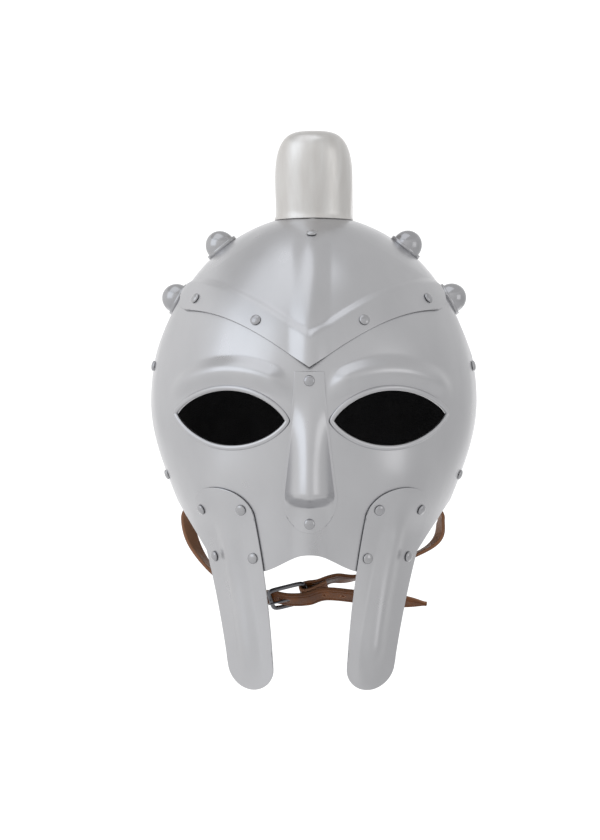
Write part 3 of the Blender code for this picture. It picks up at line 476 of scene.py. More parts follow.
# %% The skull and its rolled neck edge
OPENING_RISE = 0.0260
OPENING_INNER_ANGLE = math.radians(58)
OPENING_OUTER_ANGLE = math.radians(74)
NECK_DROP = 0.0680
NECK_FLARE = 0.0120
FLARE_START_ANGLE = math.radians(100)
FLARE_FULL_ANGLE = math.radians(135)
FLARE_HEIGHT = 0.0300
LEVEL_RING_RISE = 0.0460
PLATE_ANGLE = math.radians(84)
NECK_WIRE_RADIUS = 0.0014
NECK_WIRE_GAP = math.radians(2)
NECK_WIRE_STEPS = 220
NECK_WIRE_SIDES = 14
SKULL_COLUMNS = 240
SKULL_SIDE_ROWS = 44
SKULL_DOME_ROWS = 64


def bowl_edge(azimuth):
    """Height of the bowl's edge: a smooth step from the face opening down to the neck."""
    span = OPENING_OUTER_ANGLE - OPENING_INNER_ANGLE
    in_face = smooth_step((OPENING_OUTER_ANGLE - np.abs(azimuth)) / span)
    return -NECK_DROP + (NECK_DROP + OPENING_RISE) * in_face


def bowl_rows(edge, side_rows, dome_rows):
    """Row heights: even shares from the edge to a level ring, then even angles up to the crown."""
    side = edge + (LEVEL_RING_RISE - edge) * np.linspace(0.0, 1.0, side_rows, endpoint=False)[:, None]
    from_top = math.acos(LEVEL_RING_RISE / DOME_RISE) * np.linspace(1.0, 0.0, dome_rows)[:, None]
    return np.concatenate([side, DOME_RISE * np.cos(from_top) + 0.0 * edge], axis=0)


def neck_flare(azimuth, height):
    """Outward flare of the neck: the square of how far the place lies down the flare, behind the ears."""
    behind = smooth_step((np.abs(azimuth) - FLARE_START_ANGLE) / (FLARE_FULL_ANGLE - FLARE_START_ANGLE))
    return NECK_FLARE * behind * np.clip((-height - NECK_DROP + FLARE_HEIGHT) / FLARE_HEIGHT, 0.0, 1.0) ** 2


def tube_points(path, normal, radius, sides, closed):
    """Rings round a path: path + r cos t · across + r sin t · normal, with across square to both."""
    if closed:
        along = np.roll(path, -1, axis=0) - np.roll(path, 1, axis=0)
    else:
        along = np.gradient(path, axis=0)
    along = unit(along)
    normal = square_to(along, normal)
    across = np.cross(normal, along)
    turn = full_turn(sides)[None, :, None]
    radius = np.asarray(radius, float).reshape(-1, 1, 1)
    points = path[:, None] + radius * (np.cos(turn) * across[:, None] + np.sin(turn) * normal[:, None])
    if closed:
        return np.concatenate([points, points[:1]], axis=0)
    first = np.repeat(path[:1, None], sides, axis=1)
    last = np.repeat(path[-1:, None], sides, axis=1)
    return np.concatenate([first, points, last], axis=0)


def tube_mesh(name, path, normal, radius, sides, closed):
    """Closed mesh of a tube: a ring without end, or a rod with flat ends."""
    points = tube_points(path, normal, radius, sides, closed)
    faces = grid_faces(len(points), sides, wrap=True)
    return turned_out(make_mesh(name, points.reshape(-1, 3), faces))


def add_plate(name, points, node, wrap=False, outwards=True, finish=plate_steel):
    """Piece of sheet steel from rows and columns of points."""
    mesh = make_mesh(name, points.reshape(-1, 3), grid_faces(*points.shape[:2], wrap=wrap))
    plate = add_piece(name, mesh, finish, node)
    add_sheet(plate, outwards)
    report(plate)


def make_skull():
    """The bowl in its sheet, with a wired edge behind the ears."""
    azimuth = np.linspace(-math.pi, math.pi, SKULL_COLUMNS, endpoint=False)[None, :]
    height = bowl_rows(bowl_edge(azimuth), SKULL_SIDE_ROWS, SKULL_DOME_ROWS)
    points, _ = on_bowl(azimuth, height, neck_flare(azimuth, height))
    add_plate("skull_sheet", points, "skull", wrap=True, outwards=False)

    start = PLATE_ANGLE + NECK_WIRE_GAP
    behind = np.linspace(start, 2.0 * math.pi - start, NECK_WIRE_STEPS)
    behind = np.where(behind > math.pi, behind - 2.0 * math.pi, behind)
    edge = bowl_edge(behind)
    path, normal = on_bowl(behind, edge, neck_flare(behind, edge) - SHEET / 2)
    mesh = tube_mesh("neck_roll", path, normal, NECK_WIRE_RADIUS, NECK_WIRE_SIDES, closed=False)
    report(add_piece("neck_roll", mesh, plate_steel, "skull"))


make_skull()

# %% [markdown]
# The lining is cut from leather in eight gores, as a cap is, and sewn with its seams inwards. Its colour
# is painted near-black as the shade inside the helmet, so it shows as a dark hollow through the eyes, and
# plainly from below. It is the same bowl, laid inside the sheet. Each gore swells inwards between its
# seams, by a smooth step of the distance from a seam, and a row of stitches runs along the hem.

# %% The leather lining
LINING_INSET = 0.0050
GORES = 8
GORE_SWELL = 0.0009
SEAM_HALF_ANGLE = math.radians(7)
STITCH_LENGTH = 0.0034
STITCH_RADIUS = 0.0004
HEM = 0.0060
CROWN_FADE_SHARE = 0.2
LINING_COLUMNS = 192
LINING_SIDE_ROWS = 40
LINING_DOME_ROWS = 44
STITCHES = 128
STITCH_ROW_SHARE = 0.6
STITCH_RINGS = 6
STITCH_SIDES = 6


def gore_depth(azimuth, height):
    """Swelling of the gores: 0 on a seam and full a few degrees off it, fading out at crown and hem."""
    from_seam = np.abs((azimuth * GORES / (2.0 * math.pi) + 0.5) % 1.0 - 0.5) * 2.0 * math.pi / GORES
    from_hem = smooth_step((height - bowl_edge(azimuth) - LINING_INSET - HEM) / HEM)
    from_crown = smooth_step((DOME_RISE - height) / (DOME_RISE * CROWN_FADE_SHARE))
    return GORE_SWELL * smooth_step(from_seam / SEAM_HALF_ANGLE) * from_hem * from_crown


def make_lining():
    """The lining, a leather shell inside the bowl."""
    azimuth = np.linspace(-math.pi, math.pi, LINING_COLUMNS, endpoint=False)[None, :]
    height = bowl_rows(bowl_edge(azimuth) + LINING_INSET, LINING_SIDE_ROWS, LINING_DOME_ROWS)
    inside = neck_flare(azimuth, height) - SHEET - LINING_GAP
    outer, _ = on_bowl(azimuth, height, inside)
    inner, _ = on_bowl(azimuth, height, inside - LINING - gore_depth(azimuth, height))
    points = np.concatenate([inner[::-1], outer], axis=0)
    faces = grid_faces(*points.shape[:2], wrap=True)
    mesh = turned_out(make_mesh("lining_gores", points.reshape(-1, 3), faces))
    report(add_piece("lining_gores", mesh, lining_leather_and_shade, "lining"))


def capsules(middle, along, out, length, radius):
    """Small rods with round ends: rings of radius sqrt(sin t) at the places -cos t of half a length."""
    across = np.cross(along, out)
    bend = np.linspace(0.0, math.pi, STITCH_RINGS)
    turn = full_turn(STITCH_SIDES)
    place = -np.cos(bend) * length / 2
    ring = np.sin(bend) ** 0.5 * radius
    spokes = np.cos(turn)[:, None] * across[:, None] + np.sin(turn)[:, None] * out[:, None]
    points = (middle[:, None, None] + place[None, :, None, None] * along[:, None, None]
              + ring[None, :, None, None] * spokes[:, None])
    return points.reshape(-1, 3), many_faces(STITCH_RINGS, STITCH_SIDES, len(middle))


def make_hem_stitches():
    """A row of stitches along the lining's hem, lying on its inner face."""
    azimuth = np.linspace(-math.pi, math.pi, STITCHES, endpoint=False)
    height = bowl_edge(azimuth) + LINING_INSET + HEM * STITCH_ROW_SHARE
    out = neck_flare(azimuth, height) - SHEET - LINING_GAP - LINING
    middle, normal = on_bowl(azimuth, height, out)
    along = unit(np.roll(middle, -1, axis=0) - np.roll(middle, 1, axis=0))
    points, faces = capsules(middle, along, square_to(along, normal), STITCH_LENGTH, STITCH_RADIUS)
    mesh = turned_out(make_mesh("hem_stitches", points, faces))
    report(add_piece("hem_stitches", mesh, lining_leather_and_shade, "lining"))


make_lining()
make_hem_stitches()

# %% [markdown]
# The face plate is the helmet's face: one pressed sheet with two eye openings, ridges over the brows,
# swelling cheeks and an arch over the mouth. Cutting the eyes with a Boolean would leave long thin
# faces that show in the polish. Instead each half is a collar stretched between the eye and the plate's
# border. Its rings run from the eye's outline to the border along straight rays, so the mesh flows
# round the opening as the metal does.

# %% Lines of the face
PLATE_CORNER_ANGLE = math.radians(66)
PLATE_SIDE_TOP_RISE = 0.0320
CHIN_DROP = 0.1130
MOUTH_ARCH = 0.0120
MOUTH_HALF_WIDTH = 0.0340
JAW_CORNER_ANGLE = math.radians(45)
PLATE_SIDE_LOW_DROP = 0.0680
BROW_RIDGE = 0.0050
BROW_RIDGE_HALF_WIDTH = 0.0110
BROW_RIDGE_RISE = 0.0110
BROW_RIDGE_BEND = 0.55
BROW_RIDGE_REACH = 1.12
BROW_RIDGE_FADE = 0.40
CHEEK_SWELL = 0.0040
CHEEK_SWELL_RADIUS = 0.0340
LIP_KEEL = 0.0030
LIP_KEEL_HALF_WIDTH = 0.0120
RIDGE_FADE = 0.0300
EYE_X = 0.0520
EYE_DROP = 0.0110
EYE_HALF_LENGTH = 0.0380
EYE_UPPER = 0.0190
EYE_LOWER = 0.0200
EYE_TILT = math.radians(4)
EYE_ROUNDNESS = 1.5
RIM_RADIUS = 0.0019
FRONTLET_HALF_WIDTH = 0.0880
FRONTLET_CENTRE_RISE = 0.0200
FRONTLET_END_RISE = 0.0600
FRONTLET_LAP = 0.0160
NOSE_TIP_DROP = 0.0860
NOSE_WIDEST_DROP = 0.0620
CHEEK_TOP_DROP = 0.0560
CHEEK_TOP_X = 0.0600


def brow_line(x):
    """Height of the forehead plate's lower edge: a quarter sine from the nose to the temples."""
    share = np.clip(np.abs(x) / FRONTLET_HALF_WIDTH, 0.0, 1.0)
    return FRONTLET_CENTRE_RISE + (FRONTLET_END_RISE - FRONTLET_CENTRE_RISE) * np.sin(share * math.pi / 2)


def plate_top(azimuth):
    """Height of the face plate's top edge: under the forehead plate, then a smooth step down to its side."""
    x = half_size(FRONTLET_END_RISE, HALF_WIDTH, JAW_HALF_WIDTH) * np.sin(azimuth)
    under = brow_line(x) + FRONTLET_LAP
    down = smooth_step((np.abs(azimuth) - PLATE_CORNER_ANGLE) / (PLATE_ANGLE - PLATE_CORNER_ANGLE))
    return under + (PLATE_SIDE_TOP_RISE - under) * down


def plate_bottom(azimuth):
    """Height of the face plate's bottom edge: an arch over the mouth and a smooth step up at the jaw."""
    x = half_size(-CHIN_DROP, HALF_WIDTH, JAW_HALF_WIDTH) * np.sin(azimuth)
    arch = MOUTH_ARCH * swell(x, MOUTH_HALF_WIDTH)
    up = smooth_step((np.abs(azimuth) - JAW_CORNER_ANGLE) / (PLATE_ANGLE - JAW_CORNER_ANGLE))
    return -CHIN_DROP + arch + (CHIN_DROP - PLATE_SIDE_LOW_DROP) * up


def eye_outline(turn):
    """Left eye from the front: (a cos t, b |sin t|^1.5), its own b above and below, turned by the tilt."""
    along = EYE_HALF_LENGTH * np.cos(turn)
    tall = np.where(np.sin(turn) > 0.0, EYE_UPPER, EYE_LOWER)
    across = np.sign(np.sin(turn)) * tall * np.abs(np.sin(turn)) ** EYE_ROUNDNESS
    x = EYE_X + along * math.cos(EYE_TILT) - across * math.sin(EYE_TILT)
    height = -EYE_DROP + along * math.sin(EYE_TILT) + across * math.cos(EYE_TILT)
    return x, height


def plate_relief(x, height):
    """How far the face plate is raised: ridge over the brow, cheek and keel of the lip, each a swelling."""
    across = (np.abs(x) - EYE_X) / EYE_HALF_LENGTH
    brow = -EYE_DROP + BROW_RIDGE_RISE + EYE_UPPER * (1.0 - BROW_RIDGE_BEND * across ** 2)
    fade = smooth_step((BROW_RIDGE_REACH - np.abs(across)) / BROW_RIDGE_FADE)
    ridge = BROW_RIDGE * swell(height - brow, BROW_RIDGE_HALF_WIDTH) * fade
    from_cheek = np.hypot(np.abs(x) - CHEEK_TOP_X, height + CHEEK_TOP_DROP)
    cheek = CHEEK_SWELL * swell(from_cheek, CHEEK_SWELL_RADIUS)
    under_nose = smooth_step((-height - NOSE_WIDEST_DROP) / (NOSE_TIP_DROP - NOSE_WIDEST_DROP))
    keel = LIP_KEEL * swell(x, LIP_KEEL_HALF_WIDTH) * under_nose
    return ridge + cheek + keel


# %% [markdown]
# With its lines known, the plate can be laid out. The border is walked once round, and the same number
# of points is found on the eye, each in the direction of its border point. The other half is its mirror
# image, with its faces turned over so that they still point outwards. The rim of each eye is a tube on
# the middle of the sheet.

# %% The face plate and its wired eyes
BORDER_STEPS = {"middle": 80, "top": 94, "side": 54, "bottom": 92}
PLATE_RINGS = 50
EYE_OUTLINE_STEPS = 1440
RIM_STEPS = 200
RIM_SIDES = 16


def plate_border():
    """Azimuths and heights round the left half: up the middle, along the top, down the side, back below."""
    middle, top, side, bottom = (np.linspace(0.0, 1.0, steps, endpoint=False)
                                 for steps in BORDER_STEPS.values())
    azimuth = [0.0 * middle, PLATE_ANGLE * top, PLATE_ANGLE + 0.0 * side, PLATE_ANGLE * (1.0 - bottom)]
    height = [plate_bottom(0.0) + (plate_top(0.0) - plate_bottom(0.0)) * middle,
              plate_top(azimuth[1]),
              plate_top(PLATE_ANGLE) + (plate_bottom(PLATE_ANGLE) - plate_top(PLATE_ANGLE)) * side,
              plate_bottom(azimuth[3])]
    return np.concatenate(azimuth), np.concatenate(height)


def eye_on_rays(azimuth, height):
    """Points of the eye's outline in the directions of the border points, seen from the eye's middle."""
    eye_azimuth = float(azimuth_of(EYE_X, -EYE_DROP))
    x, eye_height = eye_outline(full_turn(EYE_OUTLINE_STEPS))
    outline = azimuth_of(x, eye_height)
    bearing = np.arctan2(eye_height + EYE_DROP, (outline - eye_azimuth) * HALF_WIDTH)
    wanted = np.arctan2(height + EYE_DROP, (azimuth - eye_azimuth) * HALF_WIDTH)
    return (np.interp(wanted, bearing, outline, period=2.0 * math.pi),
            np.interp(wanted, bearing, eye_height, period=2.0 * math.pi))


def make_face_plate():
    """Both halves of the mask as one sheet: place = eye + (border - eye) · ring share."""
    border_azimuth, border_height = plate_border()
    eye_azimuth, eye_height = eye_on_rays(border_azimuth, border_height)
    share = np.linspace(0.0, 1.0, PLATE_RINGS + 1)[:, None]
    azimuth = eye_azimuth + (border_azimuth - eye_azimuth) * share
    height = eye_height + (border_height - eye_height) * share
    base, _ = on_bowl(azimuth, height)
    left, _ = on_bowl(azimuth, height, PLATE_INSIDE + plate_relief(base[..., 0], height))
    right = left * (-1.0, 1.0, 1.0)
    faces = grid_faces(*height.shape, wrap=True)
    points = np.concatenate([left.reshape(-1, 3), right.reshape(-1, 3)])
    mesh = make_mesh("face_sheet", points, np.concatenate([faces, faces[:, ::-1] + height.size]))
    plate = add_piece("face_sheet", mesh, plate_steel, "face_plate")
    add_sheet(plate, outwards=True)
    report(plate)


def make_eye_rims():
    """Rolled edge round each eye: a tube along the outline, on the middle of the sheet."""
    x, height = eye_outline(full_turn(RIM_STEPS))
    for side, hand in ((-1, "right"), (1, "left")):
        out = PLATE_INSIDE + SHEET / 2 + plate_relief(x, height)
        path, normal = on_front(x * side, height, out)
        mesh = tube_mesh(f"eye_roll_{hand}", path, normal, RIM_RADIUS, RIM_SIDES, closed=True)
        report(add_piece(f"eye_roll_{hand}", mesh, plate_steel, "face_plate"))


make_face_plate()
make_eye_rims()

# %% [markdown]
# The forehead plate laps over both the skull and the mask and takes the first blow. It rises to a point
# under the crest and carries a keel down its middle. It is a grid from its brow line to its roof line,
# laid over whatever is under it: close to the bowl above, and stepped out over the mask's edge below.

# %% The forehead plate
FRONTLET_END_TOP_RISE = 0.0760
FRONTLET_KEEL = 0.0035
FRONTLET_KEEL_HALF_WIDTH = 0.0140
FRONTLET_ROOF_POWER = 1.15
FRONTLET_CORNER = 0.0060
FRONTLET_ROWS = 72
FRONTLET_COLUMNS = 181
FRONTLET_CROWDING = 0.45
STEP_TOP = FRONTLET_LAP * 1.5
STEP_LENGTH = FRONTLET_LAP * 0.38
FRONTLET_TO_CREST = 0.0070
CREST_FRONT_ANGLE = math.radians(15)
FRONTLET_TOP_RISE = DOME_RISE * math.cos(CREST_FRONT_ANGLE + FRONTLET_TO_CREST / FRONT_DEPTH)


def roof_line(x):
    """Height of the upper edge: it falls from the point to the ends by a power a little over 1."""
    share = np.clip(np.abs(x) / FRONTLET_HALF_WIDTH, 0.0, 1.0)
    return FRONTLET_TOP_RISE - (FRONTLET_TOP_RISE - FRONTLET_END_TOP_RISE) * share ** FRONTLET_ROOF_POWER


def frontlet_lift(x, height):
    """Distance out of the bowl: a smooth step up over the mask's edge, plus the mask's relief and a keel."""
    over_plate = smooth_step((brow_line(x) + STEP_TOP - height) / STEP_LENGTH)
    from_point = smooth_step((FRONTLET_TOP_RISE - height) / RIDGE_FADE)
    keel = FRONTLET_KEEL * swell(x, FRONTLET_KEEL_HALF_WIDTH) * from_point
    return LAP_GAP + (OVERLAY_INSIDE - LAP_GAP + plate_relief(x, height)) * over_plate + keel


def make_frontlet():
    """The pointed forehead plate, from its brow line to its roof line.

    Both lines are cut back by r - sqrt(r² - d²) to round its corners, and its columns are crowded towards its
    ends by a part of a sine, because the bowl turns away there.
    """
    turn = np.linspace(-math.pi / 2, math.pi / 2, FRONTLET_COLUMNS)
    crowded = FRONTLET_CROWDING * np.sin(turn) + (1.0 - FRONTLET_CROWDING) * turn / (math.pi / 2)
    x = FRONTLET_HALF_WIDTH * crowded[None, :]
    share = np.linspace(0.0, 1.0, FRONTLET_ROWS)[:, None]
    past = np.maximum(np.abs(x) - FRONTLET_HALF_WIDTH + FRONTLET_CORNER, 0.0)
    cut = FRONTLET_CORNER - np.sqrt(np.maximum(FRONTLET_CORNER ** 2 - past ** 2, 0.0))
    low = np.arccos((brow_line(x) + cut) / DOME_RISE)
    high = np.arccos((roof_line(x) - cut) / DOME_RISE)
    height = DOME_RISE * np.cos(low * (1.0 - share) + high * share)
    points, _ = on_front(x, height, frontlet_lift(x, height))
    add_plate("forehead_sheet", points, "frontlet")


make_frontlet()

# %% [markdown]
# The nose guard and the cheek guards are leaves of sheet, and all their ends but the nose guard's top
# are round. A plain grid would crowd all its columns into one point at a round end, and the filed edge
# would pinch there. So a square grid is first squeezed into a disc, which keeps its quads nearly square
# right to the rim, and the disc is then stretched to the leaf's outline.

# %% The nose guard and the cheek guards
NOSE_TOP_RISE = 0.0180
NOSE_TOP_HALF_WIDTH = 0.0095
NOSE_HALF_WIDTH = 0.0175
NOSE_HEIGHT = 0.0190
NOSE_FLAT_END = 0.0120
NOSE_RIDGE_SHARE = 0.86
NOSE_RIDGE_POWER = 1.7
NOSE_WIDENING_POWER = 1.3
NOSE_START = NOSE_FLAT_END * 0.8
NOSE_FLAT = NOSE_FLAT_END * 1.3
NOSE_ROWS = (30, 90)
CHEEK_TIP_DROP = 0.1910
CHEEK_TIP_X = 0.0365
CHEEK_BEND = 0.55
CHEEK_TOP_HALF_WIDTH = 0.0205
CHEEK_TIP_HALF_WIDTH = 0.0142
CHEEK_RIDGE = 0.0040
CHEEK_RIDGE_HALF_WIDTH = 0.0090
CHEEK_RIDGE_START = 0.0080
CHEEK_ROWS = (66, 67)
LEAF_COLUMNS = 49


def leaf_grid(low_rows, high_rows, columns, round_top):
    """Shares along (-1 to 1) and across (-1 to 1) a leaf.

    A square (u, v) goes to the disc p = u sqrt(1 - v²/2), q = v sqrt(1 - u²/2). The share along is p, and
    the share across is q over the disc's half width sqrt(1 - p²). A square top keeps p = u and q = v.
    """
    u = np.concatenate([np.linspace(-1.0, 0.0, low_rows, endpoint=False), np.linspace(0.0, 1.0, high_rows)])
    u = u[:, None]
    v = np.linspace(-1.0, 1.0, columns)[None, :]
    squeeze = np.where((u < 0.0) | round_top, 1.0, 0.0)
    p = u * np.sqrt(1.0 - squeeze * v ** 2 / 2)
    q = v * np.sqrt(1.0 - squeeze * u ** 2 / 2)
    return p, np.clip(q / np.sqrt(np.maximum(1.0 - squeeze * p ** 2, 1e-9)), -1.0, 1.0)


def rounded_end(distance, radius):
    """Share of the full width at a distance from a round end: sqrt(1 - (1 - d / r)²)."""
    return np.sqrt(np.clip(1.0 - (1.0 - np.clip(distance / radius, 0.0, 1.0)) ** 2, 0.0, 1.0))


def nose_half_width(height):
    """Half width of the nose guard: a power curve to its lower third, then round."""
    share = np.clip((NOSE_TOP_RISE - height) / (NOSE_TOP_RISE + NOSE_WIDEST_DROP), 0.0, 1.0)
    width = NOSE_TOP_HALF_WIDTH + (NOSE_HALF_WIDTH - NOSE_TOP_HALF_WIDTH) * share ** NOSE_WIDENING_POWER
    return width * rounded_end(height + NOSE_TIP_DROP, NOSE_TIP_DROP - NOSE_WIDEST_DROP)


def nose_lift(x, height):
    """Distance out of the bowl: a ridge 1 - |x / w|^1.7 that grows downwards and ends in a flat tip."""
    from_top = smooth_step((NOSE_TOP_RISE - height - NOSE_START) / (NOSE_TOP_RISE + NOSE_WIDEST_DROP))
    from_tip = smooth_step((height + NOSE_TIP_DROP - NOSE_FLAT) / NOSE_FLAT_END)
    ridge_half_width = NOSE_RIDGE_SHARE * np.maximum(nose_half_width(height), LEAST_HALF_SIZE)
    ridge = np.clip(1.0 - (np.abs(x) / ridge_half_width) ** NOSE_RIDGE_POWER, 0.0, 1.0)
    return OVERLAY_INSIDE + plate_relief(x, height) + NOSE_HEIGHT * from_top * from_tip * ridge


def make_nose_guard():
    """The nasal, riveted over the middle of the mask."""
    along, across = leaf_grid(*NOSE_ROWS, LEAF_COLUMNS, round_top=False)
    below = along * (NOSE_TIP_DROP - NOSE_WIDEST_DROP)
    above = along * (NOSE_TOP_RISE + NOSE_WIDEST_DROP)
    height = -NOSE_WIDEST_DROP + np.where(along < 0.0, below, above)
    x = across * nose_half_width(height)
    points, _ = on_front(x, height, nose_lift(x, height))
    add_plate("nose_sheet", points, "nose_guard")


def cheek_share(height):
    """How far down a cheek guard a height lies, from 0 at the top to 1 at the tip."""
    return np.clip((-height - CHEEK_TOP_DROP) / (CHEEK_TIP_DROP - CHEEK_TOP_DROP), 0.0, 1.0)


def cheek_centre(height):
    """x of a cheek guard's middle line from the front: inwards by the share s plus a bend times s(1 - s)."""
    share = cheek_share(height)
    bent = share + CHEEK_BEND * share * (1.0 - share)
    return CHEEK_TOP_X + (CHEEK_TIP_X - CHEEK_TOP_X) * bent


def cheek_half_width(height):
    """Half width of a cheek guard: narrowing evenly, with round ends."""
    width = CHEEK_TOP_HALF_WIDTH + (CHEEK_TIP_HALF_WIDTH - CHEEK_TOP_HALF_WIDTH) * cheek_share(height)
    top = rounded_end(-height - CHEEK_TOP_DROP, CHEEK_TOP_HALF_WIDTH)
    return width * top * rounded_end(height + CHEEK_TIP_DROP, CHEEK_TIP_HALF_WIDTH)


def cheek_lift(x, height):
    """Distance out of the bowl: on the mask, plus a ridge down the middle that fades at both ends."""
    from_top = smooth_step((-height - CHEEK_TOP_DROP - CHEEK_RIDGE_START) / RIDGE_FADE)
    from_tip = smooth_step((height + CHEEK_TIP_DROP) / RIDGE_FADE)
    from_middle = np.abs(x) - cheek_centre(height)
    ridge = CHEEK_RIDGE * swell(from_middle, CHEEK_RIDGE_HALF_WIDTH) * from_top * from_tip
    return OVERLAY_INSIDE + plate_relief(x, height) + ridge


def make_cheek_guards():
    """The two long cheek guards."""
    along, across = leaf_grid(*CHEEK_ROWS, LEAF_COLUMNS, round_top=True)
    height = -(CHEEK_TOP_DROP + CHEEK_TIP_DROP) / 2 + along * (CHEEK_TIP_DROP - CHEEK_TOP_DROP) / 2
    for side, hand in ((-1, "right"), (1, "left")):
        x = side * cheek_centre(height) + across * cheek_half_width(height)
        points, _ = on_front(x, height, cheek_lift(x, height))
        add_plate(f"cheek_sheet_{hand}", points, f"cheek_guard_{hand}")


make_nose_guard()
make_cheek_guards()

# %% [markdown]
# The crest is a box raised from sheet and brazed to the bowl. It was brushed after the polishing, so it
# is paler and less glossy, and its strokes run upright. It is a loop round its base, carried up a wall
# that bends over to the crest's middle line. The wall's section is a superellipse, taken as a ray that
# swings from level to upright, because that spaces the rows evenly on the wall and on the top. The
# brazing leaves a small fillet where the wall meets the bowl.

# %% The crest
CREST_HALF_WIDTH = 0.0260
CREST_TOP_SPREAD = 0.0030
CREST_FRONT_HEIGHT = 0.0620
CREST_BACK_HEIGHT = 0.0240
CREST_BACK_ANGLE = math.radians(-76)
CREST_LEAN = 0.6
CREST_SIDE_ROUNDNESS = 4.2
CREST_END_ROUNDNESS = 8.0
CREST_FRONT_CORNER = 0.0300
CREST_FRONT_CORNER_DROP = 0.0120
CREST_BACK_CORNER = 0.0400
CREST_BACK_CORNER_DROP = 0.0130
CREST_SIDE_STEPS = 88
CREST_END_STEPS = 44
CREST_ROWS = 54
BRAZE = 0.0016


def crest_loop():
    """Places on the middle line and facing angles round the base, from the front end leftwards."""
    length = DOME_RISE * (CREST_FRONT_ANGLE - CREST_BACK_ANGLE)
    first, last = CREST_HALF_WIDTH, length - CREST_HALF_WIDTH
    side = np.linspace(0.0, 1.0, CREST_SIDE_STEPS, endpoint=False)
    end = np.linspace(-0.5, 0.5, CREST_END_STEPS, endpoint=False) * math.pi
    middle = np.concatenate([first + 0.0 * end, first + (last - first) * side,
                             last + 0.0 * end, last + (first - last) * side])
    facing = np.concatenate([end, math.pi / 2 + 0.0 * side, end + math.pi, 1.5 * math.pi + 0.0 * side])
    return middle, facing, length


def crest_height(from_front, length):
    """Height of the crest along its middle line: falling evenly to the back, with a drop at each corner."""
    height = CREST_FRONT_HEIGHT + (CREST_BACK_HEIGHT - CREST_FRONT_HEIGHT) * from_front / length
    height = height - CREST_FRONT_CORNER_DROP * (1.0 - rounded_end(from_front, CREST_FRONT_CORNER))
    return height - CREST_BACK_CORNER_DROP * (1.0 - rounded_end(length - from_front, CREST_BACK_CORNER))


def make_crest():
    """The crest box: base loop times wall section, both laid over the bowl's middle line."""
    middle, facing, length = crest_loop()
    swing = np.linspace(0.0, math.pi / 2, CREST_ROWS)[:, None]
    power = CREST_SIDE_ROUNDNESS + (CREST_END_ROUNDNESS - CREST_SIDE_ROUNDNESS) * np.cos(facing) ** 2
    reach = (np.cos(swing) ** power + np.sin(swing) ** power) ** (-1.0 / power)
    level = np.where(swing < math.pi / 2, reach * np.cos(swing), 0.0)
    upright = np.minimum(reach * np.sin(swing), 1.0)
    from_front = np.clip(middle - level * np.cos(facing) * CREST_HALF_WIDTH, 0.0, length)
    rise = upright * crest_height(from_front, length)
    braze = BRAZE * np.exp(-rise / BRAZE)
    width = CREST_HALF_WIDTH + CREST_TOP_SPREAD * rise / CREST_FRONT_HEIGHT + braze
    x = level * np.sin(facing) * width
    angle = CREST_FRONT_ANGLE - from_front / DOME_RISE + braze * np.cos(facing) * level / DOME_RISE
    depth = np.where(angle > 0.0, FRONT_DEPTH, BACK_DEPTH)
    narrowing = np.sqrt(1.0 - (x / HALF_WIDTH) ** 2)
    lean = CREST_LEAN * angle
    y = -depth * np.sin(angle) * narrowing - np.sin(lean) * (rise + LAP_GAP)
    z = DOME_RISE * np.cos(angle) * narrowing + np.cos(lean) * (rise + LAP_GAP) + WIDEST_Z
    points = np.stack([x, y, z], axis=-1)
    add_plate("crest_box", points, "crest", wrap=True, outwards=False,
              finish=crest_steel)


make_crest()

# %% [markdown]
# Rivets and bosses are turned shapes: a profile spun round an axis. Their axes aren't worked out again,
# because the frame already has them. A turned solid's points spread alike in two directions and
# differently in the third, so the odd one out of its three principal directions is its axis, and its
# ends lie where its points reach furthest.

# %% Rivets and bosses
RIVET_HEAD_RADIUS = 0.0036
RIVET_HEAD_HEIGHT = 0.0019
RIVET_RIM = 0.0004
RIVET_SHANK_RADIUS = 0.0014
RIVET_TAIL_RADIUS = 0.0026
RIVET_TAIL_HEIGHT = 0.0008
BOSS_RADIUS = 0.0120
BOSS_HEIGHT = 0.0125
BOSS_COLLAR_HEIGHT = 0.0016
BOSS_DISH = 0.0009
BOSS_DOME_SHARE = 0.86
BOSS_COLLAR_WIDEST = (0.3, 0.7)
BOSS_GROOVE = (1.04, 1.01)
RIM_WIDEST = 0.4
RIM_INSET = 0.97
HEAD_INSET = 0.99
TAIL_STEPS = 5
HEAD_STEPS = 9
BOSS_STEPS = 18
RIVET_SIDES = 36
BOSS_SIDES = 72
SHARP_ANGLE = math.radians(50)


def axis_of(node):
    """Tail end and head end of a turned node, from the mean and the principal directions of its points."""
    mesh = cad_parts[node].data
    points = np.empty(len(mesh.vertices) * 3, np.float32)
    mesh.vertices.foreach_get("co", points)
    bowl_middle = np.array([0.0, 0.0, WIDEST_Z])
    points = points.reshape(-1, 3).astype(float) - bowl_middle
    middle = points.mean(axis=0)
    spreads, directions = np.linalg.eigh(np.cov((points - middle).T))
    odd = 2 if spreads[2] - spreads[1] > spreads[1] - spreads[0] else 0
    axis = directions[:, odd] * np.sign(directions[:, odd] @ middle)
    reach = (points - middle) @ axis
    return bowl_middle + middle + axis * reach.min(), bowl_middle + middle + axis * reach.max()


def dome(radius, low, high, steps):
    """Profile of a dome from its rim to its top: (r cos t, low + rise sin t)."""
    turn = np.linspace(0.0, math.pi / 2, steps)
    return [(radius * math.cos(t), low + (high - low) * math.sin(t)) for t in turn]


def tail_profile():
    """Hammered tail from its end at 0, and the foot of the shank."""
    curve = dome(RIVET_TAIL_RADIUS, 0.0, RIVET_TAIL_HEIGHT, TAIL_STEPS)
    tail = [(radius, RIVET_TAIL_HEIGHT - height) for radius, height in reversed(curve)]
    return [*tail, (RIVET_SHANK_RADIUS, RIVET_TAIL_HEIGHT)]


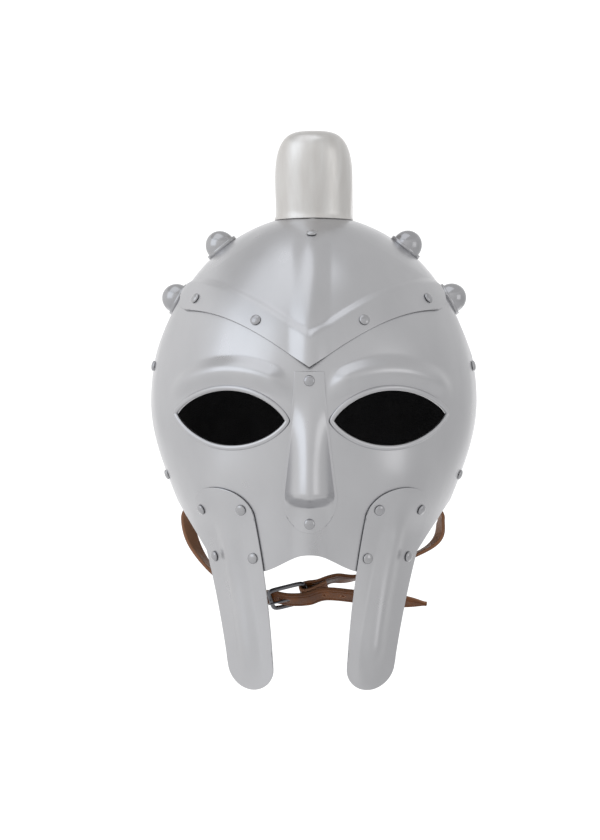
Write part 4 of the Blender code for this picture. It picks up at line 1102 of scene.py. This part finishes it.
def rivet_profile(length):
    """Tail, shank, thin rim and domed head, from the tail end at 0 to the head at the length."""
    seat = length - RIVET_HEAD_HEIGHT
    rim = [(RIVET_SHANK_RADIUS, seat), (RIVET_HEAD_RADIUS * RIM_INSET, seat),
           (RIVET_HEAD_RADIUS, seat + RIVET_RIM * RIM_WIDEST)]
    return tail_profile() + rim + dome(RIVET_HEAD_RADIUS * HEAD_INSET, seat + RIVET_RIM, length, HEAD_STEPS)


def boss_profile(length):
    """Tail, shank, a collar dished to sit on the curved bowl, a groove and a round dome."""
    seat = length - BOSS_HEIGHT
    collar = seat + BOSS_COLLAR_HEIGHT
    inner = BOSS_RADIUS * BOSS_DOME_SHARE
    low, high = (BOSS_COLLAR_HEIGHT * share for share in BOSS_COLLAR_WIDEST)
    wide, narrow = (inner * share for share in BOSS_GROOVE)
    lip = [(RIVET_SHANK_RADIUS, seat), (BOSS_RADIUS * RIM_INSET, seat - BOSS_DISH),
           (BOSS_RADIUS, seat - BOSS_DISH + low), (BOSS_RADIUS, seat + high),
           (BOSS_RADIUS * RIM_INSET, collar), (wide, collar), (narrow, collar - low)]
    return tail_profile() + lip + dome(inner, collar, length, BOSS_STEPS)


def make_turned(node, profile, sides):
    """Fastener in its node's place: radius and height of the profile spun round the node's axis."""
    tail, head = axis_of(node)
    radius, height = np.array(profile(np.linalg.norm(head - tail))).T
    axis = Vector(head - tail).normalized()
    turn = axis.to_track_quat("Z", "Y").to_matrix()
    points = spun(radius, height, sides) @ np.array(turn).T + tail
    faces = grid_faces(*points.shape[:2], wrap=True)
    mesh = turned_out(make_mesh(f"{node}_turned", points.reshape(-1, 3), faces))
    mesh.set_sharp_from_angle(angle=SHARP_ANGLE)
    add_piece(f"{node}_turned", mesh, fastener_steel, node)


PROFILES = {"boss": (boss_profile, BOSS_SIDES), "rivet": (rivet_profile, RIVET_SIDES)}
turned = [node for node in sorted(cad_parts) if node.split("_")[0] in PROFILES]
for node in turned:
    make_turned(node, *PROFILES[node.split("_")[0]])
print(f"fasteners: {len(turned)} turned")

# %% [markdown]
# The chin strap is two lengths of bridle leather. Each is riveted inside the bowl's edge and hangs in a
# slack curve, and the buckle joins them under the chin. A flat strap is best swept: a section with
# rounded, burnished edges and a creased line inside each edge is carried along the strap's middle line.
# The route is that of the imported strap, so that both lie in one place. It is given by a few points: the
# rivet, the slack, the buckle, and there the way under and over its wire or round its bar.

# %% The strap's route
STRAP_RIVET_ANGLE = math.radians(93)
STRAP_RIVET_DROP = 0.0540
STRAP_WIDTH = 0.0150
STRAP_THICKNESS = 0.0024
STRAP_TAB = 0.0080
STRAP_TWIST = 0.60
FACET_ROOM = 0.0016
TIP_REACH = 0.0945
BUCKLE_X = -0.0165
BUCKLE_Y = -0.0360
BUCKLE_DROP = 0.1335
BUCKLE_HALF_LENGTH = 0.0125
BUCKLE_HALF_WIDTH = 0.0115
BUCKLE_SQUARENESS = 7.0
BUCKLE_TILT = math.radians(14)
BUCKLE_WIRE_RADIUS = 0.0015
PRONG_RADIUS = 0.0011
BUCKLE_FALL = 0.6
BUCKLE_LEVEL = 0.8
TILT_COS = math.cos(BUCKLE_TILT)
TILT_SIN = math.sin(BUCKLE_TILT)
BUCKLE_ALONG = np.array([TILT_COS, 0.0, TILT_SIN])
BUCKLE_ACROSS = np.array([BUCKLE_FALL * TILT_SIN, BUCKLE_LEVEL, -BUCKLE_FALL * TILT_COS])
BUCKLE_OUT = np.array([BUCKLE_LEVEL * TILT_SIN, -BUCKLE_FALL, -BUCKLE_LEVEL * TILT_COS])


def buckle_point(along, out, across=0.0):
    """Point at the buckle, from its middle."""
    centre = np.array([BUCKLE_X, BUCKLE_Y, WIDEST_Z - BUCKLE_DROP])
    return centre + BUCKLE_ALONG * along + BUCKLE_OUT * out + BUCKLE_ACROSS * across


def strap_anchor(side):
    """Points of a strap's riveted end, flat on the lining and down past the bowl's edge."""
    out = -(SHEET + LINING_GAP + LINING) - FACET_ROOM - STRAP_THICKNESS / 2
    heights = np.array([-STRAP_RIVET_DROP + STRAP_TAB, -STRAP_RIVET_DROP, -NECK_DROP - STRAP_TAB * 0.5])
    return on_bowl(side * STRAP_RIVET_ANGLE, heights, out)[0]


def smooth_path(points, steps):
    """Catmull-Rom curve through the points: a cubic between each two, with slopes from their neighbours."""
    points = np.array(points, float)
    padded = np.vstack([2 * points[0] - points[1], points, 2 * points[-1] - points[-2]])
    share = np.linspace(0.0, len(points) - 1.0, steps)
    first = np.minimum(share.astype(int), len(points) - 2)
    local = (share - first)[:, None]
    before, start, end, after = (padded[first + k] for k in range(4))
    return 0.5 * (2 * start + (end - before) * local + (2 * before - 5 * start + 4 * end - after) * local ** 2
                  + (3 * start - before - 3 * end + after) * local ** 3)


def strap_routes():
    """Points of the two halves: the free half first, then the half that holds the buckle."""
    fold = BUCKLE_WIRE_RADIUS + CLEARANCE + STRAP_THICKNESS / 2
    under = fold + CLEARANCE
    over = fold + STRAP_THICKNESS + CLEARANCE * 2
    end = BUCKLE_HALF_LENGTH
    chin = buckle_point(0.0, 0.0)
    right = strap_anchor(-1)
    left = strap_anchor(1)
    free = [*right, right[2] + (-0.003, -0.005, -0.014), right[2] + (0.004, -0.014, -0.034),
            chin + (-0.046, 0.010, 0.009),
            buckle_point(-end - 0.010, -under), buckle_point(-end, -under),
            buckle_point(0.0, over - fold), buckle_point(end, over), buckle_point(end + 0.014, over),
            chin + (end + 0.045, -0.001, -0.0015), chin + (TIP_REACH, 0.004, -0.0055)]
    bend = np.radians([-90, -135, -180, -225, -270])
    around = [buckle_point(end + fold * math.cos(angle), fold * math.sin(angle)) for angle in bend]
    hold = [*left, left[2] + (0.003, -0.005, -0.014), left[2] + (-0.005, -0.013, -0.032),
            chin + (0.050, 0.010, 0.013), buckle_point(end + 0.020, -fold - 0.002),
            buckle_point(end + 0.008, -fold), buckle_point(end + fold, -fold), *around,
            buckle_point(end + fold, fold), buckle_point(end + 0.008, fold - 0.001),
            buckle_point(end + 0.015, fold - 0.003)]
    return free, hold


# %% [markdown]
# Along the route each strap needs to know which way its width lies. At the rivet that is fore and aft
# and at the buckle it is the buckle's own, and between them the strap twists by a smooth step. The
# attribute grain_side is 1 on the outer face and 0 on the inner one, for the material. Holes and the
# prong's slot are cut by a Boolean. That needs a closed mesh that doesn't cross itself, so the route
# bends round the bar no tighter than half the strap's thickness.

# %% The strap's leather
STRAP_STEPS = 300
TURN_SPAN = (-0.25, 2.2)
FACE_COLUMNS = 41
EDGE_STEPS = 9
CREASE_INSET = 0.0019
CREASE_DEPTH = 0.00035
CREASE_HALF_WIDTH = 0.0006
TIP_LENGTH = 0.0240
TIP_END_SHARE = 0.16
HOLE_RADIUS = 0.0013
HOLE_SPACING = 0.0130
HOLE_NUMBERS = (-3, -2, 2, 3, 4, 5)
HOLE_SIDES = 20
HOLE_EDGE_ANGLE = math.radians(45)
SLOT_START_SHARE = 0.55


def strap_frames(path, hand):
    """Directions across and through a strap, with an extra twist of 4 s (1 - s) on the way."""
    along = unit(np.gradient(path, axis=0))
    share = smooth_step(np.linspace(*TURN_SPAN, len(path)))[:, None]
    twist = np.array([-hand * STRAP_TWIST, 0.0, 0.0]) * 4.0 * share * (1.0 - share)
    across = np.array([0.0, 1.0, 0.0]) * (1.0 - share) + BUCKLE_ACROSS * share + twist
    across = square_to(along, across)
    return across, np.cross(along, across)


def strap_section():
    """Places across, heights and grain sides round the section: two flat faces joined by half rounds."""
    half = STRAP_WIDTH / 2 - STRAP_THICKNESS / 2
    flat = np.linspace(-half, half, FACE_COLUMNS)
    crease = CREASE_DEPTH * swell(np.abs(flat) - (half - CREASE_INSET), CREASE_HALF_WIDTH)
    turn = np.linspace(math.pi / 2, -math.pi / 2, EDGE_STEPS)[1:-1]
    edge = STRAP_THICKNESS / 2
    across = np.concatenate([flat, half + edge * np.cos(turn), flat[::-1], -half - edge * np.cos(turn)])
    rise = np.sin(turn)
    height = np.concatenate([edge - crease, edge * rise, -edge + 0.0 * flat, -edge * rise])
    side = np.concatenate([1.0 + 0.0 * flat, 0.5 + 0.5 * rise, 0.0 * flat, 0.5 - 0.5 * rise])
    return across, height, side


def sweep_strap(name, route, hand, tip_length):
    """Strap swept along its route, narrowing to its tip by 1 - (1 - s)², with both ends closed."""
    path = smooth_path(route, STRAP_STEPS)
    width_way, through = strap_frames(path, hand)
    lengths = np.concatenate([[0.0], np.cumsum(np.linalg.norm(np.diff(path, axis=0), axis=1))])
    across, height, side = strap_section()
    narrow = np.ones(STRAP_STEPS)
    if tip_length:
        narrow = 1.0 - np.clip(1.0 - (lengths[-1] - lengths) / tip_length, 0.0, 1.0) ** 2
    narrow = np.maximum(narrow, TIP_END_SHARE)
    points = (path[:, None] + (narrow[:, None] * across)[..., None] * width_way[:, None]
              + hand * height[:, None] * through[:, None])
    points = np.concatenate([points[:1].mean(axis=1, keepdims=True) + 0.0 * points[:1], points,
                             points[-1:].mean(axis=1, keepdims=True) + 0.0 * points[-1:]])
    sides = np.tile(side, (len(points), 1))
    mesh = bpy.data.meshes.new(name)
    faces = grid_faces(*points.shape[:2], wrap=True)
    mesh.from_pydata(points.reshape(-1, 3).tolist(), [], faces.tolist())
    attribute = mesh.attributes.new("grain_side", "FLOAT", "POINT")
    attribute.data.foreach_set("value", sides.astype(np.float32).ravel())
    work = bmesh.new()
    work.from_mesh(mesh)
    bmesh.ops.remove_doubles(work, verts=work.verts, dist=WELD_DISTANCE)
    bmesh.ops.recalc_face_normals(work, faces=work.faces)
    work.to_mesh(mesh)
    work.free()
    mesh.shade_smooth()
    return mesh, path, through, lengths


def punch(mesh, name, cutter_mesh):
    """The mesh with a cutter taken out of it."""
    piece = bpy.data.objects.new(name, mesh)
    tool = bpy.data.objects.new(f"{name}_punch", cutter_mesh)
    for item in (piece, tool):
        bpy.context.collection.objects.link(item)
    boolean = piece.modifiers.new("Punch", "BOOLEAN")
    boolean.operation = "DIFFERENCE"
    boolean.object = tool
    bpy.context.view_layer.update()
    cut = bpy.data.meshes.new_from_object(piece.evaluated_get(bpy.context.evaluated_depsgraph_get()))
    for item in (piece, tool):
        bpy.data.objects.remove(item)
    cut.shade_smooth()
    cut.set_sharp_from_angle(angle=HOLE_EDGE_ANGLE)
    cut.name = name
    return cut


def prong_slot():
    """Box that clears the prong through both halves of the strap."""
    reach = BUCKLE_WIRE_RADIUS + CLEARANCE + 2 * PRONG_RADIUS + CLEARANCE
    half = PRONG_RADIUS + CLEARANCE * 2
    ends = (-BUCKLE_HALF_LENGTH * SLOT_START_SHARE, BUCKLE_HALF_LENGTH + reach)
    corners = np.array([buckle_point(along, out, across)
                        for along in ends for out in (-reach, reach) for across in (-half, half)])
    faces = np.array([(0, 1, 3, 2), (4, 6, 7, 5), (0, 4, 5, 1), (2, 3, 7, 6), (0, 2, 6, 4), (1, 5, 7, 3)])
    mesh = bpy.data.meshes.new("prong_slot")
    mesh.from_pydata(corners.tolist(), [], faces.tolist())
    return turned_out(mesh)


def strap_holes(path, through, lengths):
    """Round punches along the free half, a spacing apart on both sides of the buckle, clear of its slot."""
    buckle = lengths[np.argmin(np.linalg.norm(path - buckle_point(0.0, 0.0), axis=1))]
    radius = HOLE_RADIUS * np.array([0.0, 1.0, 1.0, 0.0])
    height = STRAP_THICKNESS * np.array([-1.0, -1.0, 1.0, 1.0])
    punches = []
    for number in HOLE_NUMBERS:
        at = int(np.argmin(np.abs(lengths - buckle - HOLE_SPACING * number)))
        turn = Vector(through[at]).to_track_quat("Z", "Y").to_matrix()
        punches.append(spun(radius, height, HOLE_SIDES) @ np.array(turn).T + path[at])
    faces = many_faces(len(radius), HOLE_SIDES, len(punches))
    return turned_out(make_mesh("strap_holes", np.concatenate(punches).reshape(-1, 3), faces))


def make_straps():
    """Both halves of the chin strap."""
    free_route, hold_route = strap_routes()
    mesh, path, through, lengths = sweep_strap("strap_free_half", free_route, -1, TIP_LENGTH)
    mesh = punch(mesh, "strap_free_half", strap_holes(path, through, lengths))
    mesh = punch(mesh, "strap_free_half", prong_slot())
    report(add_piece("strap_free_half", mesh, strap_leather, "strap_tip"))
    print(f"free half: {1000 * lengths[-1]:.0f} mm long")
    mesh, _, _, lengths = sweep_strap("strap_buckle_half", hold_route, 1, 0.0)
    mesh = punch(mesh, "strap_buckle_half", prong_slot())
    report(add_piece("strap_buckle_half", mesh, strap_leather, "strap_buckle"))
    print(f"buckle half: {1000 * lengths[-1]:.0f} mm long")


make_straps()

# %% [markdown]
# The buckle is bent from blackened wire: an oblong frame and a prong that is curled round its bar. Both
# are tubes along a line. The frame's line is a superellipse, which is straight along its sides and
# round at its corners, and the prong gets thinner towards its point.

# %% The buckle
OUTLINE_STEPS = 480
WIRE_STEPS = 120
WIRE_SIDES = 18
CURL_START = -150.0
CURL_END = 90.0
CURL_STEPS = 28
SHAFT_START_SHARE = 0.06
SHAFT_STEPS = 24
POINT_STEPS = 12
POINT_SHARE = 0.45
PRONG_SIDES = 14


def make_buckle_frame():
    """Frame of the buckle: wire along a superellipse (a cos t^p, b sin t^p), in even steps."""
    turn = full_turn(OUTLINE_STEPS)
    power = 2.0 / BUCKLE_SQUARENESS
    along = BUCKLE_HALF_LENGTH * np.sign(np.cos(turn)) * np.abs(np.cos(turn)) ** power
    across = BUCKLE_HALF_WIDTH * np.sign(np.sin(turn)) * np.abs(np.sin(turn)) ** power
    outline = np.stack([along, across], axis=-1)
    step = np.linalg.norm(np.roll(outline, -1, axis=0) - outline, axis=1)
    place = np.concatenate([[0.0], np.cumsum(step)])
    even = np.linspace(0.0, place[-1], WIRE_STEPS, endpoint=False)
    along = np.interp(even, place, np.append(along, along[0]))
    across = np.interp(even, place, np.append(across, across[0]))
    path = buckle_point(0.0, 0.0) + along[:, None] * BUCKLE_ALONG + across[:, None] * BUCKLE_ACROSS
    out = np.repeat(BUCKLE_OUT[None, :], len(path), axis=0)
    mesh = tube_mesh("buckle_wire", path, out, BUCKLE_WIRE_RADIUS, WIRE_SIDES, closed=True)
    report(add_piece("buckle_wire", mesh, buckle_steel, "buckle_frame"))


def make_buckle_prong():
    """Prong of the buckle: curled round the bar, then straight across the frame to its thinner point."""
    reach = BUCKLE_WIRE_RADIUS + CLEARANCE + PRONG_RADIUS
    bend = np.radians(np.linspace(CURL_START, CURL_END, CURL_STEPS))
    curl = [buckle_point(BUCKLE_HALF_LENGTH + reach * math.cos(angle), reach * math.sin(angle))
            for angle in bend]
    shaft = [buckle_point(BUCKLE_HALF_LENGTH - share * (2 * BUCKLE_HALF_LENGTH + PRONG_RADIUS * 2), reach)
             for share in np.linspace(SHAFT_START_SHARE, 1.0, SHAFT_STEPS)]
    path = np.array(curl + shaft)
    normal = np.repeat(BUCKLE_ACROSS[None, :], len(path), axis=0)
    from_point = np.linspace(1.0, 0.0, len(path)) * len(path)
    radius = PRONG_RADIUS * (POINT_SHARE + (1.0 - POINT_SHARE) * smooth_step(from_point / POINT_STEPS))
    mesh = tube_mesh("buckle_tongue", path, normal, radius, PRONG_SIDES, closed=False)
    report(add_piece("buckle_tongue", mesh, buckle_steel, "buckle_prong"))


make_buckle_frame()
make_buckle_prong()

# %% [markdown]
# The studio is a pale cove: a floor that curves up into a wall all round, so that no edge shows from
# any side. Polished steel shows its room more than its lamps, so the room is what lights it. The cove
# glows by itself. It is white only in the patch behind the helmet, and greyer everywhere else, most of
# all on one side and low down. The grey beside the patch does what a photographer's flags do: the
# helmet's rim turns towards it and mirrors it, and so stands out from the white. Three wide soft lamps
# add the broad highlights.

# %% The studio
FLOOR_Z = -1.10
COVE_RADIUS = 3.6
COVE_BEND = 1.2
COVE_HEIGHT = 3.9
BRIGHT_SIDE = (-0.62, 0.0, 0.50)
DIM_GLOW = 0.38
FULL_GLOW = 0.73
WHITE_GLOW = 1.02
WHITE_PATCH = (1.35, 2.1)
WHITE_START = (0.4, 1.0)
WORLD_LIGHT = 0.66
GLOW_SPAN = (-COVE_RADIUS, COVE_RADIUS * 0.6)
COVE_GREY = 0.20
COVE_ROUGHNESS = 0.9
COVE_FLOOR_RINGS = (0.0, 0.8, 1.6)
COVE_BEND_STEPS = 20
COVE_SIDES = 96
WHITE = (1.0, 1.0, 1.0)
LAMPS = (("lamp_left", (-1.9, -1.3, 0.9), 2.0, 6.2, (0.80, 0.89, 1.0)),
         ("lamp_right", (2.0, -1.2, 0.1), 1.2, 2.0, WHITE),
         ("lamp_above", (-0.5, -0.5, 1.9), 1.8, 4.8, (0.90, 0.94, 1.0)))


def glow_material():
    """Pale matt finish that glows: dim to full along one direction, white in a round patch at the back."""
    material, tree, shader, coordinates = start_material("studio_glow", 0.0)
    shader.inputs["Base Color"].default_value = (COVE_GREY, COVE_GREY, COVE_GREY, 1.0)
    shader.inputs["Roughness"].default_value = COVE_ROUGHNESS
    shader.inputs["Emission Color"].default_value = (*WHITE, 1.0)
    along = tree.nodes.new("ShaderNodeVectorMath")
    along.operation = "DOT_PRODUCT"
    along.inputs[1].default_value = BRIGHT_SIDE
    tree.links.new(coordinates, along.inputs[0])
    room = spread(tree, along.outputs["Value"], DIM_GLOW, FULL_GLOW, *GLOW_SPAN)
    flat = tree.nodes.new("ShaderNodeMapping")
    flat.inputs["Scale"].default_value = (1.0, 0.0, 1.0)
    tree.links.new(coordinates, flat.inputs["Vector"])
    length = tree.nodes.new("ShaderNodeVectorMath")
    length.operation = "LENGTH"
    tree.links.new(flat.outputs["Vector"], length.inputs[0])
    axes = tree.nodes.new("ShaderNodeSeparateXYZ")
    tree.links.new(coordinates, axes.inputs["Vector"])
    near_axis = spread(tree, length.outputs["Value"], 1.0, 0.0, *WHITE_PATCH)
    patch = spread(tree, axes.outputs["Y"], 0.0, near_axis, *WHITE_START)
    glow = spread(tree, patch, room, WHITE_GLOW, start=0.0, end=1.0)
    tree.links.new(glow, shader.inputs["Emission Strength"])
    return material


def make_cove():
    """Floor and wall of the studio: a profile of floor, quarter round and wall, spun about the middle."""
    bend = np.linspace(0.0, math.pi / 2, COVE_BEND_STEPS)
    corner = COVE_RADIUS - COVE_BEND + COVE_BEND * np.sin(bend)
    floor = np.zeros(len(COVE_FLOOR_RINGS))
    radius = np.concatenate([COVE_FLOOR_RINGS, corner, [COVE_RADIUS]])
    level = FLOOR_Z + np.concatenate([floor, COVE_BEND * (1.0 - np.cos(bend)), [COVE_HEIGHT]])
    points = spun(radius, level, COVE_SIDES)
    mesh = make_mesh("studio_cove", points.reshape(-1, 3), grid_faces(*points.shape[:2], wrap=True))
    mesh.materials.append(glow_material())
    cove = bpy.data.objects.new("studio_cove", mesh)
    bpy.context.collection.objects.link(cove)
    cove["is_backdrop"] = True


def add_lamp(name, place, size, power, colour):
    """Square soft lamp that faces the helmet's middle, with its size in metres and its power in watts."""
    data = bpy.data.lights.new(name, "AREA")
    data.color = colour
    data.size = size
    data.energy = power
    lamp = bpy.data.objects.new(name, data)
    bpy.context.collection.objects.link(lamp)
    lamp.location = place
    away = Vector(place) - Vector((0.0, 0.0, EYE_LEVEL))
    lamp.rotation_euler = away.to_track_quat("Z", "Y").to_euler()


def make_light():
    """Plain sky light and three lamps."""
    world = bpy.data.worlds.new("studio_world")
    bpy.context.scene.world = world
    world.use_nodes = True
    background = world.node_tree.nodes["Background"]
    background.inputs["Color"].default_value = (*WHITE, 1.0)
    background.inputs["Strength"].default_value = WORLD_LIGHT
    for lamp in LAMPS:
        add_lamp(*lamp)
    bpy.context.scene.view_settings.view_transform = "Standard"


make_cove()
make_light()
print("studio: cove and three lamps")

# %% [markdown]
# The last cell compares the dressed helmet with the imported one. The two boxes should be the same to a
# few millimetres.

# %% Sizes
dressed_low, dressed_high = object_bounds()
for label, low, high in (("packed", cad_low, cad_high), ("dressed", dressed_low, dressed_high)):
    print(label, [round(1000 * value, 1) for value in (*low, *high)])
